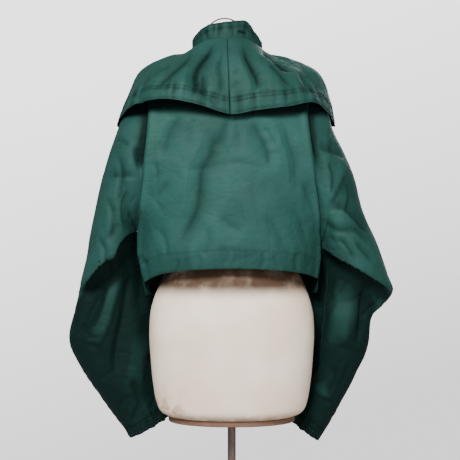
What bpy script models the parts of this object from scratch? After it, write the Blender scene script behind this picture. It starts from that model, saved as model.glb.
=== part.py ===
"""A cropped blouson jacket of thin nylon, with a wide hood spread over its shoulders, on a
limbless dress form and its stand.

Metres, +Z up, floor at Z = 0. The jacket's front faces -Y and its wearer's left is +X.
Each cloth piece is a loft through a short table of sections, with its largest folds pressed
in, and gets its thickness from a Solidify modifier centred on that surface.
"""

import math

import bmesh
import bpy
import numpy as np
from mathutils import Vector

# ------------------------------------------------------------------ driving dimensions
WALL = 0.0016            # modelled thickness of the cloth
SEAM = 0.0004            # space between pieces that are sewn together
EASE = 0.0005            # space between the cloth and the shoulders that it rests on

FORM_BASE_Z = 0.640      # underside of the dress form above the floor
FORM_PLATE = 0.010       # thickness of the wooden plate that closes the form below
NECK_X = 0.0085          # the form's neck stands a little towards the wearer's left
NECK_TOP_Z = 1.370
CAP_HEIGHT = 0.0135
BAIL_RADIUS = 0.038
BAIL_WIRE = 0.0015
POLE_RADIUS = 0.008
BASE_RADIUS = 0.190
BASE_HEIGHT = 0.014

NECK_HALF_WIDTH = 0.068  # the neck seam: half its width, and how far it reaches each way
NECK_BACK = 0.058
NECK_FRONT = 0.078
NECK_SEAM_Z = 1.343      # its height at the sides of the neck
NECK_SEAM_RISE = 0.0295  # from there it rises to the back and falls as much to the front,
NECK_SEAM_SAG = 0.0105   # and both ends lie this much lower
COLLAR_HALF_WIDTH = 0.068
COLLAR_BACK = 0.052
COLLAR_FRONT = 0.080
COLLAR_TOP_Z = 1.377     # the collar's top edge, in the same way as the neck seam
COLLAR_TOP_RISE = 0.0275
COLLAR_TOP_SAG = 0.0045
COLLAR_BACK_SLOPE = -0.10
COLLAR_SIDE_SLOPE = 0.05
ZIP_HALF = 0.0028        # half the width of the closed zip's teeth
ZIP_THICK = 0.0024

BACK, FRONT = 1.0, -1.0
LEFT, RIGHT = 1.0, -1.0


def table(columns, *rows):
    """Rows of numbers as dictionaries, so that each value is read by its column's name."""
    names = columns.split()
    return [dict(zip(names, row)) for row in rows]


def point(row, prefix):
    """The x, y and z columns of a row that share a prefix, as one point."""
    return np.array([row[prefix + "_x"], row[prefix + "_y"], row[prefix + "_z"]])


# ------------------------------------------------------------------ curves and lofts
def spline(rows, where):
    """Catmull-Rom values through rows, at positions from 0 to len(rows) - 1."""
    rows = np.asarray(rows, float)
    first = 2 * rows[0] - rows[1]
    last = 2 * rows[-1] - rows[-2]
    padded = np.concatenate([first[None], rows, last[None]])
    made = []
    for t in where:
        k = min(int(t), len(rows) - 2)
        f = t - k
        a, b, c, d = padded[k:k + 4]
        made.append(0.5 * (2 * b + (c - a) * f + (2 * a - 5 * b + 4 * c - d) * f * f
                           + (3 * b - a - 3 * c + d) * f ** 3))
    return np.array(made)


def resample(dense, count):
    """count points evenly spaced by length along a dense line of points."""
    steps = np.linalg.norm(np.diff(dense, axis=0), axis=1)
    length = np.concatenate([[0.0], np.cumsum(steps)])
    wanted = np.linspace(0.0, length[-1], count)
    axes = range(dense.shape[1])
    return np.stack([np.interp(wanted, length, dense[:, k]) for k in axes], axis=1)


def through(points, count):
    """A smooth curve through points, as count points evenly spaced along it."""
    fine = 24 * len(points)
    where = np.linspace(0, len(points) - 1, fine)
    return resample(spline(points, where), count)


def places(rows, count):
    """Positions along a stack of rows that space count new rows evenly on average."""
    steps = np.linalg.norm(np.diff(rows, axis=0), axis=2).mean(axis=1)
    length = np.concatenate([[0.0], np.cumsum(steps)])
    return np.interp(np.linspace(0.0, length[-1], count), length, np.arange(len(rows)))


def loft(rows, count):
    """A grid of count rows, smooth through the given ones."""
    rows = np.asarray(rows, float)
    return spline(rows, places(rows, count))


def smoothstep(x):
    x = np.clip(x, 0.0, 1.0)
    return x * x * (3 - 2 * x)


def normals_of(grid):
    """Outward unit normals of a grid: columns run left to right seen from outside, rows up."""
    across = np.gradient(grid, axis=1)
    if np.allclose(grid[:, 0], grid[:, -1]):
        across[:, 0] = across[:, -1] = (grid[:, 1] - grid[:, -2]) / 2
    n = np.cross(across, np.gradient(grid, axis=0))
    return n / np.maximum(np.linalg.norm(n, axis=2, keepdims=True), 1e-12)


BANK_HEIGHT = 0.33       # a fold's banks, as shares of its depth and of its width
BANK_AWAY = 1.9
BANK_WIDTH = 0.9
FOLD_END = 0.25          # the share of a fold's length over which each end fades out
STEEP = 2.5              # how soon a fold fades where the cloth turns away from the viewer


def pressed(grid, folds, facing):
    """The grid with its folds pressed in. A fold runs through the (x, z) points of its line, as
    seen from the back or the front, and its banks rise beside it."""
    normal = normals_of(grid)
    towards = smoothstep(normal[:, :, 1] * facing * STEEP)
    moved = np.zeros(grid.shape[:2])
    for fold in folds:
        line = through(fold["line"], 40)
        away = np.linalg.norm(grid[:, :, None, (0, 2)] - line[None, None], axis=3)
        along = away.argmin(axis=2) / (len(line) - 1.0)
        far = away.min(axis=2) / fold["width"]
        ends = smoothstep(along / FOLD_END) * smoothstep((1 - along) / FOLD_END)
        bank = np.exp(-((far - BANK_AWAY) / BANK_WIDTH) ** 2)
        moved += fold["depth"] * (np.exp(-far ** 2) - BANK_HEIGHT * bank) * ends
    return grid - normal * (moved * towards)[:, :, None]


def trimmed(grid, left=0.0, right=0.0, bottom=0.0, top=0.0):
    """The grid with its edges drawn back along the cloth by the distances given, each one
    number or a number for each row."""
    out = grid.copy()

    def drawn(edge, inner, distance):
        way = inner - edge
        distance = np.broadcast_to(distance, len(way))[:, None]
        return edge + way / np.linalg.norm(way, axis=1, keepdims=True) * distance

    out[:, 0] = drawn(out[:, 0], out[:, 1], left)
    out[:, -1] = drawn(out[:, -1], out[:, -2], right)
    out[0] = drawn(out[0], out[1], bottom)
    out[-1] = drawn(out[-1], out[-2], top)
    return out


# ------------------------------------------------------------------ objects
for old in list(bpy.data.objects):
    bpy.data.objects.remove(old, do_unlink=True)

pieces = bpy.data.collections.new("blouson_jacket_on_form")
bpy.context.scene.collection.children.link(pieces)


def material(name, colour, roughness, metallic=0.0):
    made = bpy.data.materials.new(name)
    made.use_nodes = True
    shader = made.node_tree.nodes["Principled BSDF"]
    shader.inputs["Base Color"].default_value = (*colour, 1.0)
    shader.inputs["Roughness"].default_value = roughness
    shader.inputs["Metallic"].default_value = metallic
    return made


nylon = material("nylon", (0.020, 0.085, 0.062), 0.45)
linen = material("linen", (0.70, 0.62, 0.55), 0.9)
wood = material("wood", (0.28, 0.15, 0.09), 0.55)
bronze = material("bronze", (0.16, 0.09, 0.06), 0.35, 1.0)
zip_metal = material("zip_metal", (0.30, 0.27, 0.22), 0.35, 1.0)


def add(name, mesh, finish):
    made = bpy.data.objects.new(name, mesh)
    pieces.objects.link(made)
    mesh.materials.append(finish)
    return made


def surface(grid, closed):
    """An open surface through a grid of points. A closed grid's last column is its first."""
    rows, columns = grid.shape[:2]
    made = bmesh.new()
    bmesh.ops.create_grid(made, x_segments=columns - 1, y_segments=rows - 1, size=1.0)
    for vertex in made.verts:
        column = round((vertex.co.x + 1) / 2 * (columns - 1))
        row = round((vertex.co.y + 1) / 2 * (rows - 1))
        vertex.co = grid[row, column]
    if closed:
        bmesh.ops.remove_doubles(made, verts=made.verts, dist=0.00001)
    return made


def sheet(name, grid, wall=WALL, finish=nylon, closed=False):
    """A wall of cloth centred on a grid of points."""
    made = surface(grid, closed)
    mesh = bpy.data.meshes.new(name)
    made.to_mesh(mesh)
    made.free()
    mesh.shade_smooth()
    cloth = add(name, mesh, finish)
    thickness = cloth.modifiers.new("wall", "SOLIDIFY")
    thickness.thickness = wall
    thickness.offset = 0.0
    return cloth


def barrel(name, grid, finish):
    """A solid of stacked rings, closed below and above."""
    made = surface(grid, True)
    rims = [edge for edge in made.edges if edge.is_boundary]
    bmesh.ops.holes_fill(made, edges=rims, sides=0)
    bmesh.ops.recalc_face_normals(made, faces=made.faces)
    mesh = bpy.data.meshes.new(name)
    made.to_mesh(mesh)
    made.free()
    mesh.shade_smooth()
    mesh.set_sharp_from_angle(angle=math.radians(40))
    return add(name, mesh, finish)


# ------------------------------------------------------------------ the jacket's sections
# The edge where the back meets the side: a side seam up to the underarm, then an armhole. The
# front has the same edge up to the underarm, from a lower hem, and its own one round the front
# of the armhole.
SIDE_LEFT = table(
    "name      back_x back_y back_z front_x front_y front_z",
    ("hem",       0.1682,  0.021, 0.908,  0.1660,  0.020, 0.899),
    ("waist",     0.1810,  0.026, 0.960,  0.1810,  0.026, 0.960),
    ("underarm",  0.1820,  0.028, 1.008,  0.1820,  0.028, 1.008),
    ("low",       0.1740,  0.066, 1.052,  0.1720, -0.044, 1.052),
    ("blade_low", 0.1670,  0.087, 1.112,  0.1610, -0.080, 1.112),
    ("blade",     0.1600,  0.095, 1.175,  0.1530, -0.095, 1.172),
    ("upper",     0.1560,  0.088, 1.236,  0.1510, -0.086, 1.230),
    ("yoke",      0.1640,  0.050, 1.286,  0.1620, -0.048, 1.282),
    ("shoulder",  0.1760,  0.000, 1.309,  0.1760,  0.000, 1.309),
)
SIDE_RIGHT = table(
    "name      back_x back_y back_z front_x front_y front_z",
    ("hem",      -0.1666,  0.021, 0.915, -0.1650,  0.020, 0.904),
    ("waist",    -0.1710,  0.026, 0.952, -0.1710,  0.026, 0.952),
    ("underarm", -0.1710,  0.028, 0.986, -0.1710,  0.028, 0.986),
    ("low",      -0.1670,  0.066, 1.040, -0.1660, -0.044, 1.040),
    ("blade_low", -0.1580, 0.087, 1.104, -0.1550, -0.080, 1.104),
    ("blade",    -0.1490,  0.095, 1.170, -0.1450, -0.095, 1.168),
    ("upper",    -0.1420,  0.088, 1.236, -0.1400, -0.086, 1.230),
    ("yoke",     -0.1520,  0.050, 1.285, -0.1500, -0.048, 1.281),
    ("shoulder", -0.1680,  0.000, 1.307, -0.1680,  0.000, 1.307),
)
# How far the cloth stands out at the middle of the back and of the front, and at what height.
# bow is how square the section is.
BACK_MIDDLE = table(
    "y z bow",
    (0.116, 0.9385, 3.0),
    (0.121, 0.985, 3.0),
    (0.122, 1.026, 3.0),
    (0.122, 1.075, 2.8),
    (0.121, 1.130, 2.6),
    (0.117, 1.190, 2.4),
    (0.109, 1.250, 2.2),
    (0.088, 1.315, 2.0),
)
FRONT_MIDDLE = table(
    "y z bow",
    (-0.122, 0.876, 5.0),
    (-0.128, 0.940, 4.2),
    (-0.131, 0.992, 3.6),
    (-0.133, 1.050, 3.0),
    (-0.134, 1.112, 2.6),
    (-0.130, 1.170, 2.4),
    (-0.120, 1.225, 2.2),
    (-0.100, 1.268, 2.0),
)
BACK_FOLDS = [
    {"line": [(0.096, 1.225), (0.113, 1.190), (0.138, 1.149)], "width": 0.012, "depth": 0.007},
    {"line": [(0.027, 1.225), (0.033, 1.175), (0.061, 1.130), (0.068, 1.084), (0.077, 1.038),
              (0.118, 0.973)], "width": 0.014, "depth": 0.010},
    {"line": [(-0.034, 1.225), (-0.041, 1.173), (-0.066, 1.128)], "width": 0.013,
     "depth": 0.008},
    {"line": [(-0.097, 1.223), (-0.108, 1.160), (-0.121, 1.103)], "width": 0.011,
     "depth": 0.005},
    {"line": [(-0.010, 1.225), (-0.003, 1.180), (0.004, 1.135)], "width": 0.020,
     "depth": 0.004},
]
FRONT_FOLDS = [
    {"line": [(-0.115, 1.235), (-0.098, 1.150), (-0.070, 1.060)], "width": 0.014,
     "depth": 0.007},
    {"line": [(-0.145, 1.100), (-0.120, 1.020), (-0.110, 0.950)], "width": 0.012,
     "depth": 0.006},
    {"line": [(0.120, 1.225), (0.105, 1.160), (0.072, 1.075)], "width": 0.014, "depth": 0.008},
    {"line": [(0.150, 1.080), (0.112, 1.010), (0.085, 0.925)], "width": 0.012, "depth": 0.007},
    {"line": [(0.055, 1.230), (0.046, 1.170), (0.050, 1.110)], "width": 0.011, "depth": 0.005},
]


ARCH_SHARE = 0.55
UNDERARM = 2             # the row of the side tables where the side seam ends
BACK_COLUMNS, BACK_ROWS = (7, 10), 23    # columns along a shoulder seam and along the neck
FRONT_COLUMNS, FRONT_ROWS = (7, 10), 21


def neck_point(turn):
    """A point of the neck seam. turn is 0 at the wearer's left, 90 at the back, in degrees."""
    a = math.radians(turn)
    reach = NECK_BACK if math.sin(a) > 0 else NECK_FRONT
    t = math.sin(a)
    z = NECK_SEAM_Z + NECK_SEAM_RISE * t - NECK_SEAM_SAG * t * t
    return np.array([NECK_X + NECK_HALF_WIDTH * math.cos(a), reach * t, z])


def collar_top_point(turn):
    """A point of the collar's top edge, which stands higher at the back's right."""
    a = math.radians(turn)
    t = math.sin(a)
    reach = COLLAR_BACK if t > 0 else COLLAR_FRONT
    aside = COLLAR_HALF_WIDTH * math.cos(a)
    lean = COLLAR_BACK_SLOPE * max(t, 0.0) + COLLAR_SIDE_SLOPE * (1 - t * t)
    z = COLLAR_TOP_Z + COLLAR_TOP_RISE * t - COLLAR_TOP_SAG * t * t + lean * aside
    return np.array([NECK_X + aside, reach * t, z])


def section(left, right, middle, columns):
    """One row of a panel between two edge points, bowed out to its middle. Its height changes
    partly in an arch and partly right beside its edges."""
    w = np.linspace(-1.0, 1.0, columns + 1)[:, None]
    base = left + (right - left) * (w + 1) / 2
    out = 1 - np.abs(w) ** middle["bow"]
    rise = ARCH_SHARE * (1 - w ** 2) + (1 - ARCH_SHARE) * (1 - w ** 8)
    base[:, 1:2] += (middle["y"] - base[:, 1:2]) * out
    base[:, 2:3] += (middle["z"] - base[:, 2:3]) * rise
    return base


def shoulder_line(first, last, turns, shoulder_columns, neck_columns):
    """The top row of a panel: a shoulder seam, half of the neck seam, a shoulder seam."""
    neck = np.array([neck_point(turn) for turn in np.linspace(*turns, 60)])
    one = np.linspace(first, neck[0], shoulder_columns + 1)[:-1]
    other = np.linspace(neck[-1], last, shoulder_columns + 1)[1:]
    return np.concatenate([one, resample(neck, neck_columns + 1), other])


def side_edge(edge_rows, where):
    """A panel's outer edge: smooth along the side seam and along the armhole, with a corner
    at the underarm between them."""
    seam = spline(edge_rows[:UNDERARM + 1], np.minimum(where, UNDERARM))
    hole = spline(edge_rows[UNDERARM:], np.maximum(where, UNDERARM) - UNDERARM)
    return np.where((where < UNDERARM)[:, None], seam, hole)


def panel(first, last, side, middles, turns, columns, count):
    """A body panel's grid, from its first edge to its last one seen from outside."""
    across = 2 * columns[0] + columns[1]
    rows = [section(point(a, side), point(b, side), middle, across)
            for a, b, middle in zip(first, last, middles)]
    rows.append(shoulder_line(point(first[-1], side), point(last[-1], side), turns, *columns))
    rows = np.array(rows)
    where = places(rows, count)
    folds, facing = (BACK_FOLDS, BACK) if side == "back" else (FRONT_FOLDS, FRONT)
    grid = pressed(spline(rows, where), folds, facing)
    for column in (0, -1):
        grid[:, column] = side_edge(rows[:, column], where)
    return grid


back = panel(SIDE_LEFT, SIDE_RIGHT, "back", BACK_MIDDLE, (0, 180), BACK_COLUMNS, BACK_ROWS)
front = panel(SIDE_RIGHT, SIDE_LEFT, "front", FRONT_MIDDLE, (180, 360), FRONT_COLUMNS,
              FRONT_ROWS)

# ------------------------------------------------------------------ back and fronts
SHOULDER_TRIM = 0.0008   # how far edges are drawn back, so that the walls clear at a seam
ARMHOLE_TRIM = 0.0008
SIDE_TRIM = 0.0018       # the side seams turn sharply
ZIP_TRIM = ZIP_HALF + SEAM
SIDE_SEAM_TOP = 1.020    # the highest that either side seam reaches


def side_trim(edge):
    return np.where(edge[:, 2] < SIDE_SEAM_TOP, SIDE_TRIM, ARMHOLE_TRIM)


sheet("back_panel", trimmed(back, side_trim(back[:, 0]), side_trim(back[:, -1]), 0.0,
                            SHOULDER_TRIM))
centre = front.shape[1] // 2
sheet("front_right", trimmed(front[:, :centre + 1], side_trim(front[:, 0]), ZIP_TRIM, 0.0,
                             SHOULDER_TRIM))
sheet("front_left", trimmed(front[:, centre:], ZIP_TRIM, side_trim(front[:, -1]), 0.0,
                            SHOULDER_TRIM))

# ------------------------------------------------------------------ sleeves and cuffs
# A sleeve is a stack of flattened rings. Each ring runs from an inner point, next to the body,
# to an outer one, and bulges to back and front. The rings fan round the underarm, hang over the
# forearm in a deep fold at the elbow, and close in to the cuff.
SLEEVE_LEFT = table(
    "name   in_x   in_y   in_z   out_x   out_y  out_z   back   front",
    ("edge",   0.1255, -0.066, 0.6370, 0.2005, -0.050, 0.5985, -0.022, -0.092),
    ("seam",   0.1310, -0.068, 0.6610, 0.2110, -0.050, 0.6180, -0.019, -0.096),
    ("wrist",  0.1410, -0.074, 0.6850, 0.2370, -0.044, 0.6500, -0.008, -0.102),
    ("fore",   0.1470, -0.078, 0.7260, 0.2760, -0.034, 0.7080,  0.008, -0.108),
    ("elbow",  0.1500, -0.076, 0.7960, 0.3160, -0.022, 0.7830,  0.020, -0.108),
    ("lower",  0.1560, -0.064, 0.8700, 0.3070, -0.012, 0.8450,  0.024, -0.100),
    ("under",  0.1680, -0.044, 0.9260, 0.3010, -0.010, 0.8750,  0.026, -0.096),
    ("tuck",   0.1820, -0.018, 0.9700, 0.2975, -0.006, 0.8900,  0.050, -0.093),
    ("rim",    0.1885,  0.001, 0.9940, 0.2940, -0.004, 0.9020,  0.082, -0.092),
    ("over",   0.1905,  0.010, 1.0030, 0.2900, -0.003, 0.9200,  0.088, -0.093),
    ("bag",    0.1905,  0.016, 1.0090, 0.2820, -0.002, 0.9560,  0.090, -0.094),
    ("mid",    0.1900,  0.020, 1.0125, 0.2670,  0.000, 1.0350,  0.090, -0.096),
    ("arm",    0.1890,  0.023, 1.0140, 0.2500,  0.000, 1.1130,  0.090, -0.098),
    ("cap",    0.1875,  0.025, 1.0140, 0.2190,  0.000, 1.2080,  0.092, -0.096),
    ("top",    0.1855,  0.027, 1.0130, 0.1970,  0.000, 1.2620,  0.093, -0.095),
)
SLEEVE_RIGHT = table(
    "name   in_x   in_y   in_z   out_x   out_y  out_z   back   front",
    ("edge",  -0.1150, -0.066, 0.6330, -0.1710, -0.054, 0.5920, -0.026, -0.092),
    ("seam",  -0.1250, -0.068, 0.6560, -0.1850, -0.054, 0.6140, -0.022, -0.096),
    ("wrist", -0.1390, -0.074, 0.6850, -0.2080, -0.048, 0.6540, -0.014, -0.102),
    ("fore",  -0.1460, -0.078, 0.7300, -0.2420, -0.038, 0.7200,  0.002, -0.108),
    ("elbow", -0.1490, -0.076, 0.7900, -0.2680, -0.026, 0.7850,  0.014, -0.108),
    ("lower", -0.1530, -0.064, 0.8550, -0.2720, -0.014, 0.8350,  0.020, -0.098),
    ("under", -0.1610, -0.044, 0.9080, -0.2830, -0.012, 0.8560,  0.022, -0.094),
    ("tuck",  -0.1720, -0.018, 0.9480, -0.3030, -0.008, 0.8760,  0.048, -0.092),
    ("rim",   -0.1790,  0.001, 0.9700, -0.3120, -0.005, 0.8930,  0.080, -0.092),
    ("over",  -0.1810,  0.010, 0.9800, -0.3030, -0.003, 0.9200,  0.088, -0.093),
    ("bag",   -0.1810,  0.016, 0.9870, -0.2850, -0.002, 0.9730,  0.090, -0.094),
    ("mid",   -0.1800,  0.020, 0.9905, -0.2530,  0.000, 1.0520,  0.090, -0.096),
    ("arm",   -0.1790,  0.023, 0.9925, -0.2330,  0.000, 1.1250,  0.090, -0.096),
    ("cap",   -0.1775,  0.025, 0.9925, -0.1935,  0.000, 1.2100,  0.091, -0.094),
    ("top",   -0.1755,  0.027, 0.9915, -0.1800,  0.000, 1.2620,  0.091, -0.094),
)
SLEEVE_LEFT_FOLDS = [
    {"line": [(0.1944, 0.925), (0.2096, 0.802), (0.2247, 0.698)], "width": 0.012,
     "depth": 0.014},
    {"line": [(0.2486, 0.890), (0.275, 0.850), (0.309, 0.792)], "width": 0.010, "depth": 0.010},
    {"line": [(0.161, 0.815), (0.190, 0.800), (0.2155, 0.780)], "width": 0.010, "depth": 0.006},
    {"line": [(0.190, 1.150), (0.215, 1.090), (0.205, 1.030)], "width": 0.012, "depth": 0.006},
]
SLEEVE_RIGHT_FOLDS = [
    {"line": [(-0.1745, 0.940), (-0.173, 0.860), (-0.172, 0.770)], "width": 0.010,
     "depth": 0.010},
    {"line": [(-0.2465, 0.880), (-0.2480, 0.840), (-0.2460, 0.794)], "width": 0.009,
     "depth": 0.007},
    {"line": [(-0.165, 1.160), (-0.188, 1.160), (-0.215, 1.158)], "width": 0.010,
     "depth": 0.006},
    {"line": [(-0.1728, 1.052), (-0.218, 1.056), (-0.255, 1.035)], "width": 0.011,
     "depth": 0.007},
    {"line": [(-0.197, 1.143), (-0.186, 1.100), (-0.171, 1.067)], "width": 0.011,
     "depth": 0.006},
]
SLEEVE_COLUMNS, SLEEVE_ROWS = 32, 23
FINE_ROWS = 92           # rows of the whole sleeve, before the cuff is parted from it
CUFF_ROWS = 4
GATHERS = 8              # waves of the cloth that the elastic draws together
GATHER_DEPTH = 0.0026
GATHER_REACH = 0.040     # how far above the cuff's edge the waves fade
GATHER_UNEVEN = 0.25
SLIM, FULL = 1.35, 0.85  # shape of a section: slim next to the body and full outside
SLEEVE_TRIM = 0.0016
CUFF_TRIM = 0.0005


def half_ring(inner, outer, reach, count):
    """Half of a sleeve's section, from its inner point to its outer one past the reach in y."""
    angle = np.linspace(math.pi, 0, 80)[:, None]
    line = inner + (outer - inner) * (1 + np.cos(angle)) / 2
    uneven = np.sign(-np.cos(angle)) * np.cos(angle) ** 2
    fullness = (SLIM + FULL) / 2 + (SLIM - FULL) / 2 * uneven
    line[:, 1:2] += (reach - (inner[1] + outer[1]) / 2) * np.sin(angle) ** fullness
    return resample(line, count)


def ring(back_half, front_half, side):
    """A closed ring from the inner point round the outer one. It runs so that the cloth's
    outside is out on either side of the body."""
    first, second = (front_half, back_half) if side == LEFT else (back_half, front_half)
    return np.concatenate([first, second[::-1][1:]])


def armhole(table_of_side, side, count):
    edges = []
    for prefix in ("back", "front"):
        edge = [point(row, prefix) for row in table_of_side[UNDERARM:]]
        edges.append(through(edge, count))
    return ring(edges[0], edges[1], side)


def sleeve_grid(sections, table_of_side, side, folds, columns, rows):
    """All of a sleeve, from the cuff's edge up to the armhole."""
    half = columns // 2 + 1
    rings = []
    for row in sections:
        inner, outer = point(row, "in"), point(row, "out")
        rings.append(ring(half_ring(inner, outer, row["back"], half),
                          half_ring(inner, outer, row["front"], half), side))
    rings.append(armhole(table_of_side, side, half))
    return pressed(loft(rings, rows), folds, BACK)


def gathered(grid, waves):
    """The cloth in waves round a sleeve's end, strongest at the cuff and gone above it."""
    rows, columns = grid.shape[:2]
    turn = np.linspace(0, 2 * math.pi, columns)[None, :]
    above = np.linalg.norm(grid - grid[0], axis=2).mean(axis=1)[:, None]
    fade = np.exp(-(above / GATHER_REACH) ** 2)
    swell = 1 - GATHER_UNEVEN + GATHER_UNEVEN * np.cos(2 * turn)
    wave = GATHER_DEPTH * np.cos(waves * turn) * swell * fade
    return grid + normals_of(grid) * wave[:, :, None]


def split_at_seam(grid, sections):
    """The row of the grid nearest to the seam between sleeve and cuff."""
    seam = (point(sections[1], "in") + point(sections[1], "out")) / 2
    return int(np.linalg.norm(grid.mean(axis=1) - seam, axis=1).argmin())


for name, side, sections, side_table, folds in (
    ("left", LEFT, SLEEVE_LEFT, SIDE_LEFT, SLEEVE_LEFT_FOLDS),
    ("right", RIGHT, SLEEVE_RIGHT, SIDE_RIGHT, SLEEVE_RIGHT_FOLDS),
):
    whole = sleeve_grid(sections, side_table, side, folds, SLEEVE_COLUMNS, FINE_ROWS)
    whole = gathered(whole, GATHERS)
    cut = split_at_seam(whole, sections)
    cuff = resample(whole[:cut + 1].reshape(cut + 1, -1), CUFF_ROWS)
    arm = resample(whole[cut:].reshape(len(whole) - cut, -1), SLEEVE_ROWS)
    cuff = cuff.reshape(CUFF_ROWS, -1, 3)
    arm = arm.reshape(SLEEVE_ROWS, -1, 3)
    sheet("cuff_" + name, trimmed(cuff, top=CUFF_TRIM), closed=True)
    sheet("sleeve_" + name, trimmed(arm, bottom=CUFF_TRIM, top=SLEEVE_TRIM), closed=True)

# ------------------------------------------------------------------ collar
COLLAR_COLUMNS, COLLAR_ROWS = 36, 4
COLLAR_LIFT = 0.0013     # its lower edge stands clear of the panels' top face


def collar_point(turn, up):
    low, high = neck_point(turn), collar_top_point(turn)
    return low + (high - low) * up


front_gap = math.degrees(math.asin((ZIP_HALF + SEAM) / NECK_HALF_WIDTH))
collar_turns = np.linspace(-90 + front_gap, 270 - front_gap, COLLAR_COLUMNS + 1)
collar = np.array([[collar_point(turn, up) for turn in collar_turns]
                   for up in np.linspace(0, 1, COLLAR_ROWS + 1)])
sheet("collar_stand", trimmed(collar, bottom=COLLAR_LIFT))

# ------------------------------------------------------------------ hood
# The hood is thrown back and spread flat over the shoulders like a cape, so that its face
# opening is the lower edge. Each rib is a section from that edge up to the neck seam, at the
# turn round the neck that its name's angle gives.
HOOD_RIBS = table(
    "turn  high_x high_y high_z  mid_x mid_y mid_z  low_x low_y low_z  hem_x hem_y hem_z",
    (-83,  0.020, -0.090, 1.307,  0.025, -0.101, 1.300,  0.030, -0.111, 1.291,
           0.034, -0.120, 1.278),
    (-66,  0.045, -0.086, 1.318,  0.078, -0.110, 1.301,  0.108, -0.125, 1.278,
           0.130, -0.134, 1.252),
    (-38,  0.085, -0.050, 1.332,  0.130, -0.064, 1.312,  0.172, -0.076, 1.270,
           0.200, -0.080, 1.223),
    (-5,   0.120,  0.000, 1.347,  0.178,  0.000, 1.317,  0.205, -0.002, 1.260,
           0.224, -0.005, 1.213),
    (12,   0.108,  0.028, 1.341,  0.150,  0.060, 1.315,  0.178,  0.084, 1.275,
           0.188,  0.094, 1.240),
    (32,   0.082,  0.062, 1.343,  0.110,  0.098, 1.315,  0.126,  0.125, 1.282,
           0.130,  0.138, 1.2495),
    (60,   0.038,  0.080, 1.353,  0.054,  0.110, 1.320,  0.064,  0.133, 1.278,
           0.068,  0.141, 1.2407),
    (90,   0.008,  0.083, 1.354,  0.007,  0.112, 1.318,  0.005,  0.129, 1.268,
           0.003,  0.132, 1.2225),
    (120, -0.021,  0.082, 1.354, -0.034,  0.112, 1.318, -0.041,  0.130, 1.273,
          -0.043,  0.133, 1.229),
    (148, -0.060,  0.064, 1.343, -0.084,  0.098, 1.315, -0.097,  0.122, 1.278,
          -0.103,  0.131, 1.2366),
    (168, -0.090,  0.028, 1.341, -0.130,  0.058, 1.313, -0.153,  0.081, 1.275,
          -0.160,  0.094, 1.246),
    (185, -0.110,  0.000, 1.3425, -0.169, 0.000, 1.3145, -0.1925, -0.002, 1.262,
          -0.202, -0.004, 1.2137),
    (218, -0.068, -0.050, 1.331, -0.112, -0.064, 1.311, -0.156, -0.075, 1.268,
          -0.183, -0.078, 1.225),
    (246, -0.028, -0.086, 1.317, -0.060, -0.110, 1.299, -0.090, -0.124, 1.277,
          -0.113, -0.132, 1.252),
    (263, -0.003, -0.090, 1.307, -0.008, -0.101, 1.300, -0.013, -0.111, 1.291,
          -0.017, -0.120, 1.278),
)
HOOD_CENTRE = 7          # the rib along the centre-back seam
HOOD_FOLDS = [
    {"line": [(0.056, 1.345), (0.058, 1.299), (0.052, 1.269), (0.038, 1.244)], "width": 0.009,
     "depth": 0.007},
    {"line": [(0.020, 1.356), (0.033, 1.335), (0.037, 1.312)], "width": 0.010, "depth": 0.006},
    {"line": [(-0.022, 1.350), (-0.030, 1.320), (-0.042, 1.298), (-0.046, 1.271)],
     "width": 0.010, "depth": 0.007},
    {"line": [(0.085, 1.335), (0.112, 1.300), (0.150, 1.262)], "width": 0.012, "depth": 0.004},
    {"line": [(-0.078, 1.345), (-0.092, 1.325), (-0.120, 1.300)], "width": 0.009,
     "depth": 0.006},
]
HOOD_SEAM_UP = 0.26      # how far up the collar the hood is sewn on
HOOD_STAND = 0.0024      # its edge's distance from the middle of the collar's wall
HOOD_COLUMNS, HOOD_ROWS = 18, 12
HOOD_TRIM = 0.0004


def hood_neck(turn):
    """Where the hood meets the collar: on its outer face, with the seam's space."""
    on_collar = collar_point(turn, HOOD_SEAM_UP)
    a = math.radians(turn)
    out = np.array([math.cos(a), math.sin(a), 0.0])
    return on_collar + out * HOOD_STAND


def hood_grid(columns, rows):
    """The two halves, each from its left edge to its right one seen from outside."""
    ribs = []
    for rib in HOOD_RIBS:
        marks = [point(rib, mark) for mark in ("hem", "low", "mid", "high")]
        ribs.append(through(marks + [hood_neck(rib["turn"])], rows))
    ribs = np.array(ribs)
    turns = [[rib["turn"]] for rib in HOOD_RIBS]
    halves = []
    for first, last in ((0, HOOD_CENTRE), (HOOD_CENTRE, len(ribs) - 1)):
        where = first + places(ribs[first:last + 1], columns + 1)
        half = pressed(spline(ribs, where).transpose(1, 0, 2), HOOD_FOLDS, BACK)
        half[-1] = [hood_neck(turn) for turn in spline(turns, where)[:, 0]]
        halves.append(half)
    return halves


hood_left, hood_right = hood_grid(HOOD_COLUMNS, HOOD_ROWS)
sheet("hood_left", trimmed(hood_left, right=HOOD_TRIM))
sheet("hood_right", trimmed(hood_right, left=HOOD_TRIM))

# ------------------------------------------------------------------ zip
ZIP_ROWS = 26
SLIDER = (0.0085, 0.0050, 0.0095)
SLIDER_UP = 0.72         # how far up the collar the slider stands
PULL = (0.0060, 0.0014, 0.0260)
PULL_GAP = 0.0008        # between the slider and its pull, whose top swings there
PULL_ABOVE = 0.0008      # how far the pull reaches above its hinge
HINGE_UP = 0.0010        # the hinge above the slider's middle

collar_front = [collar_point(270, up) for up in (0.4, 0.7, 1.0)]
chain_line = resample(np.concatenate([front[:, centre], collar_front]), ZIP_ROWS)
across = np.array([ZIP_HALF, 0.0, 0.0])
chain = np.stack([chain_line - across, chain_line, chain_line + across], axis=1)
sheet("zip_chain", chain, wall=ZIP_THICK, finish=zip_metal)


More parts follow.
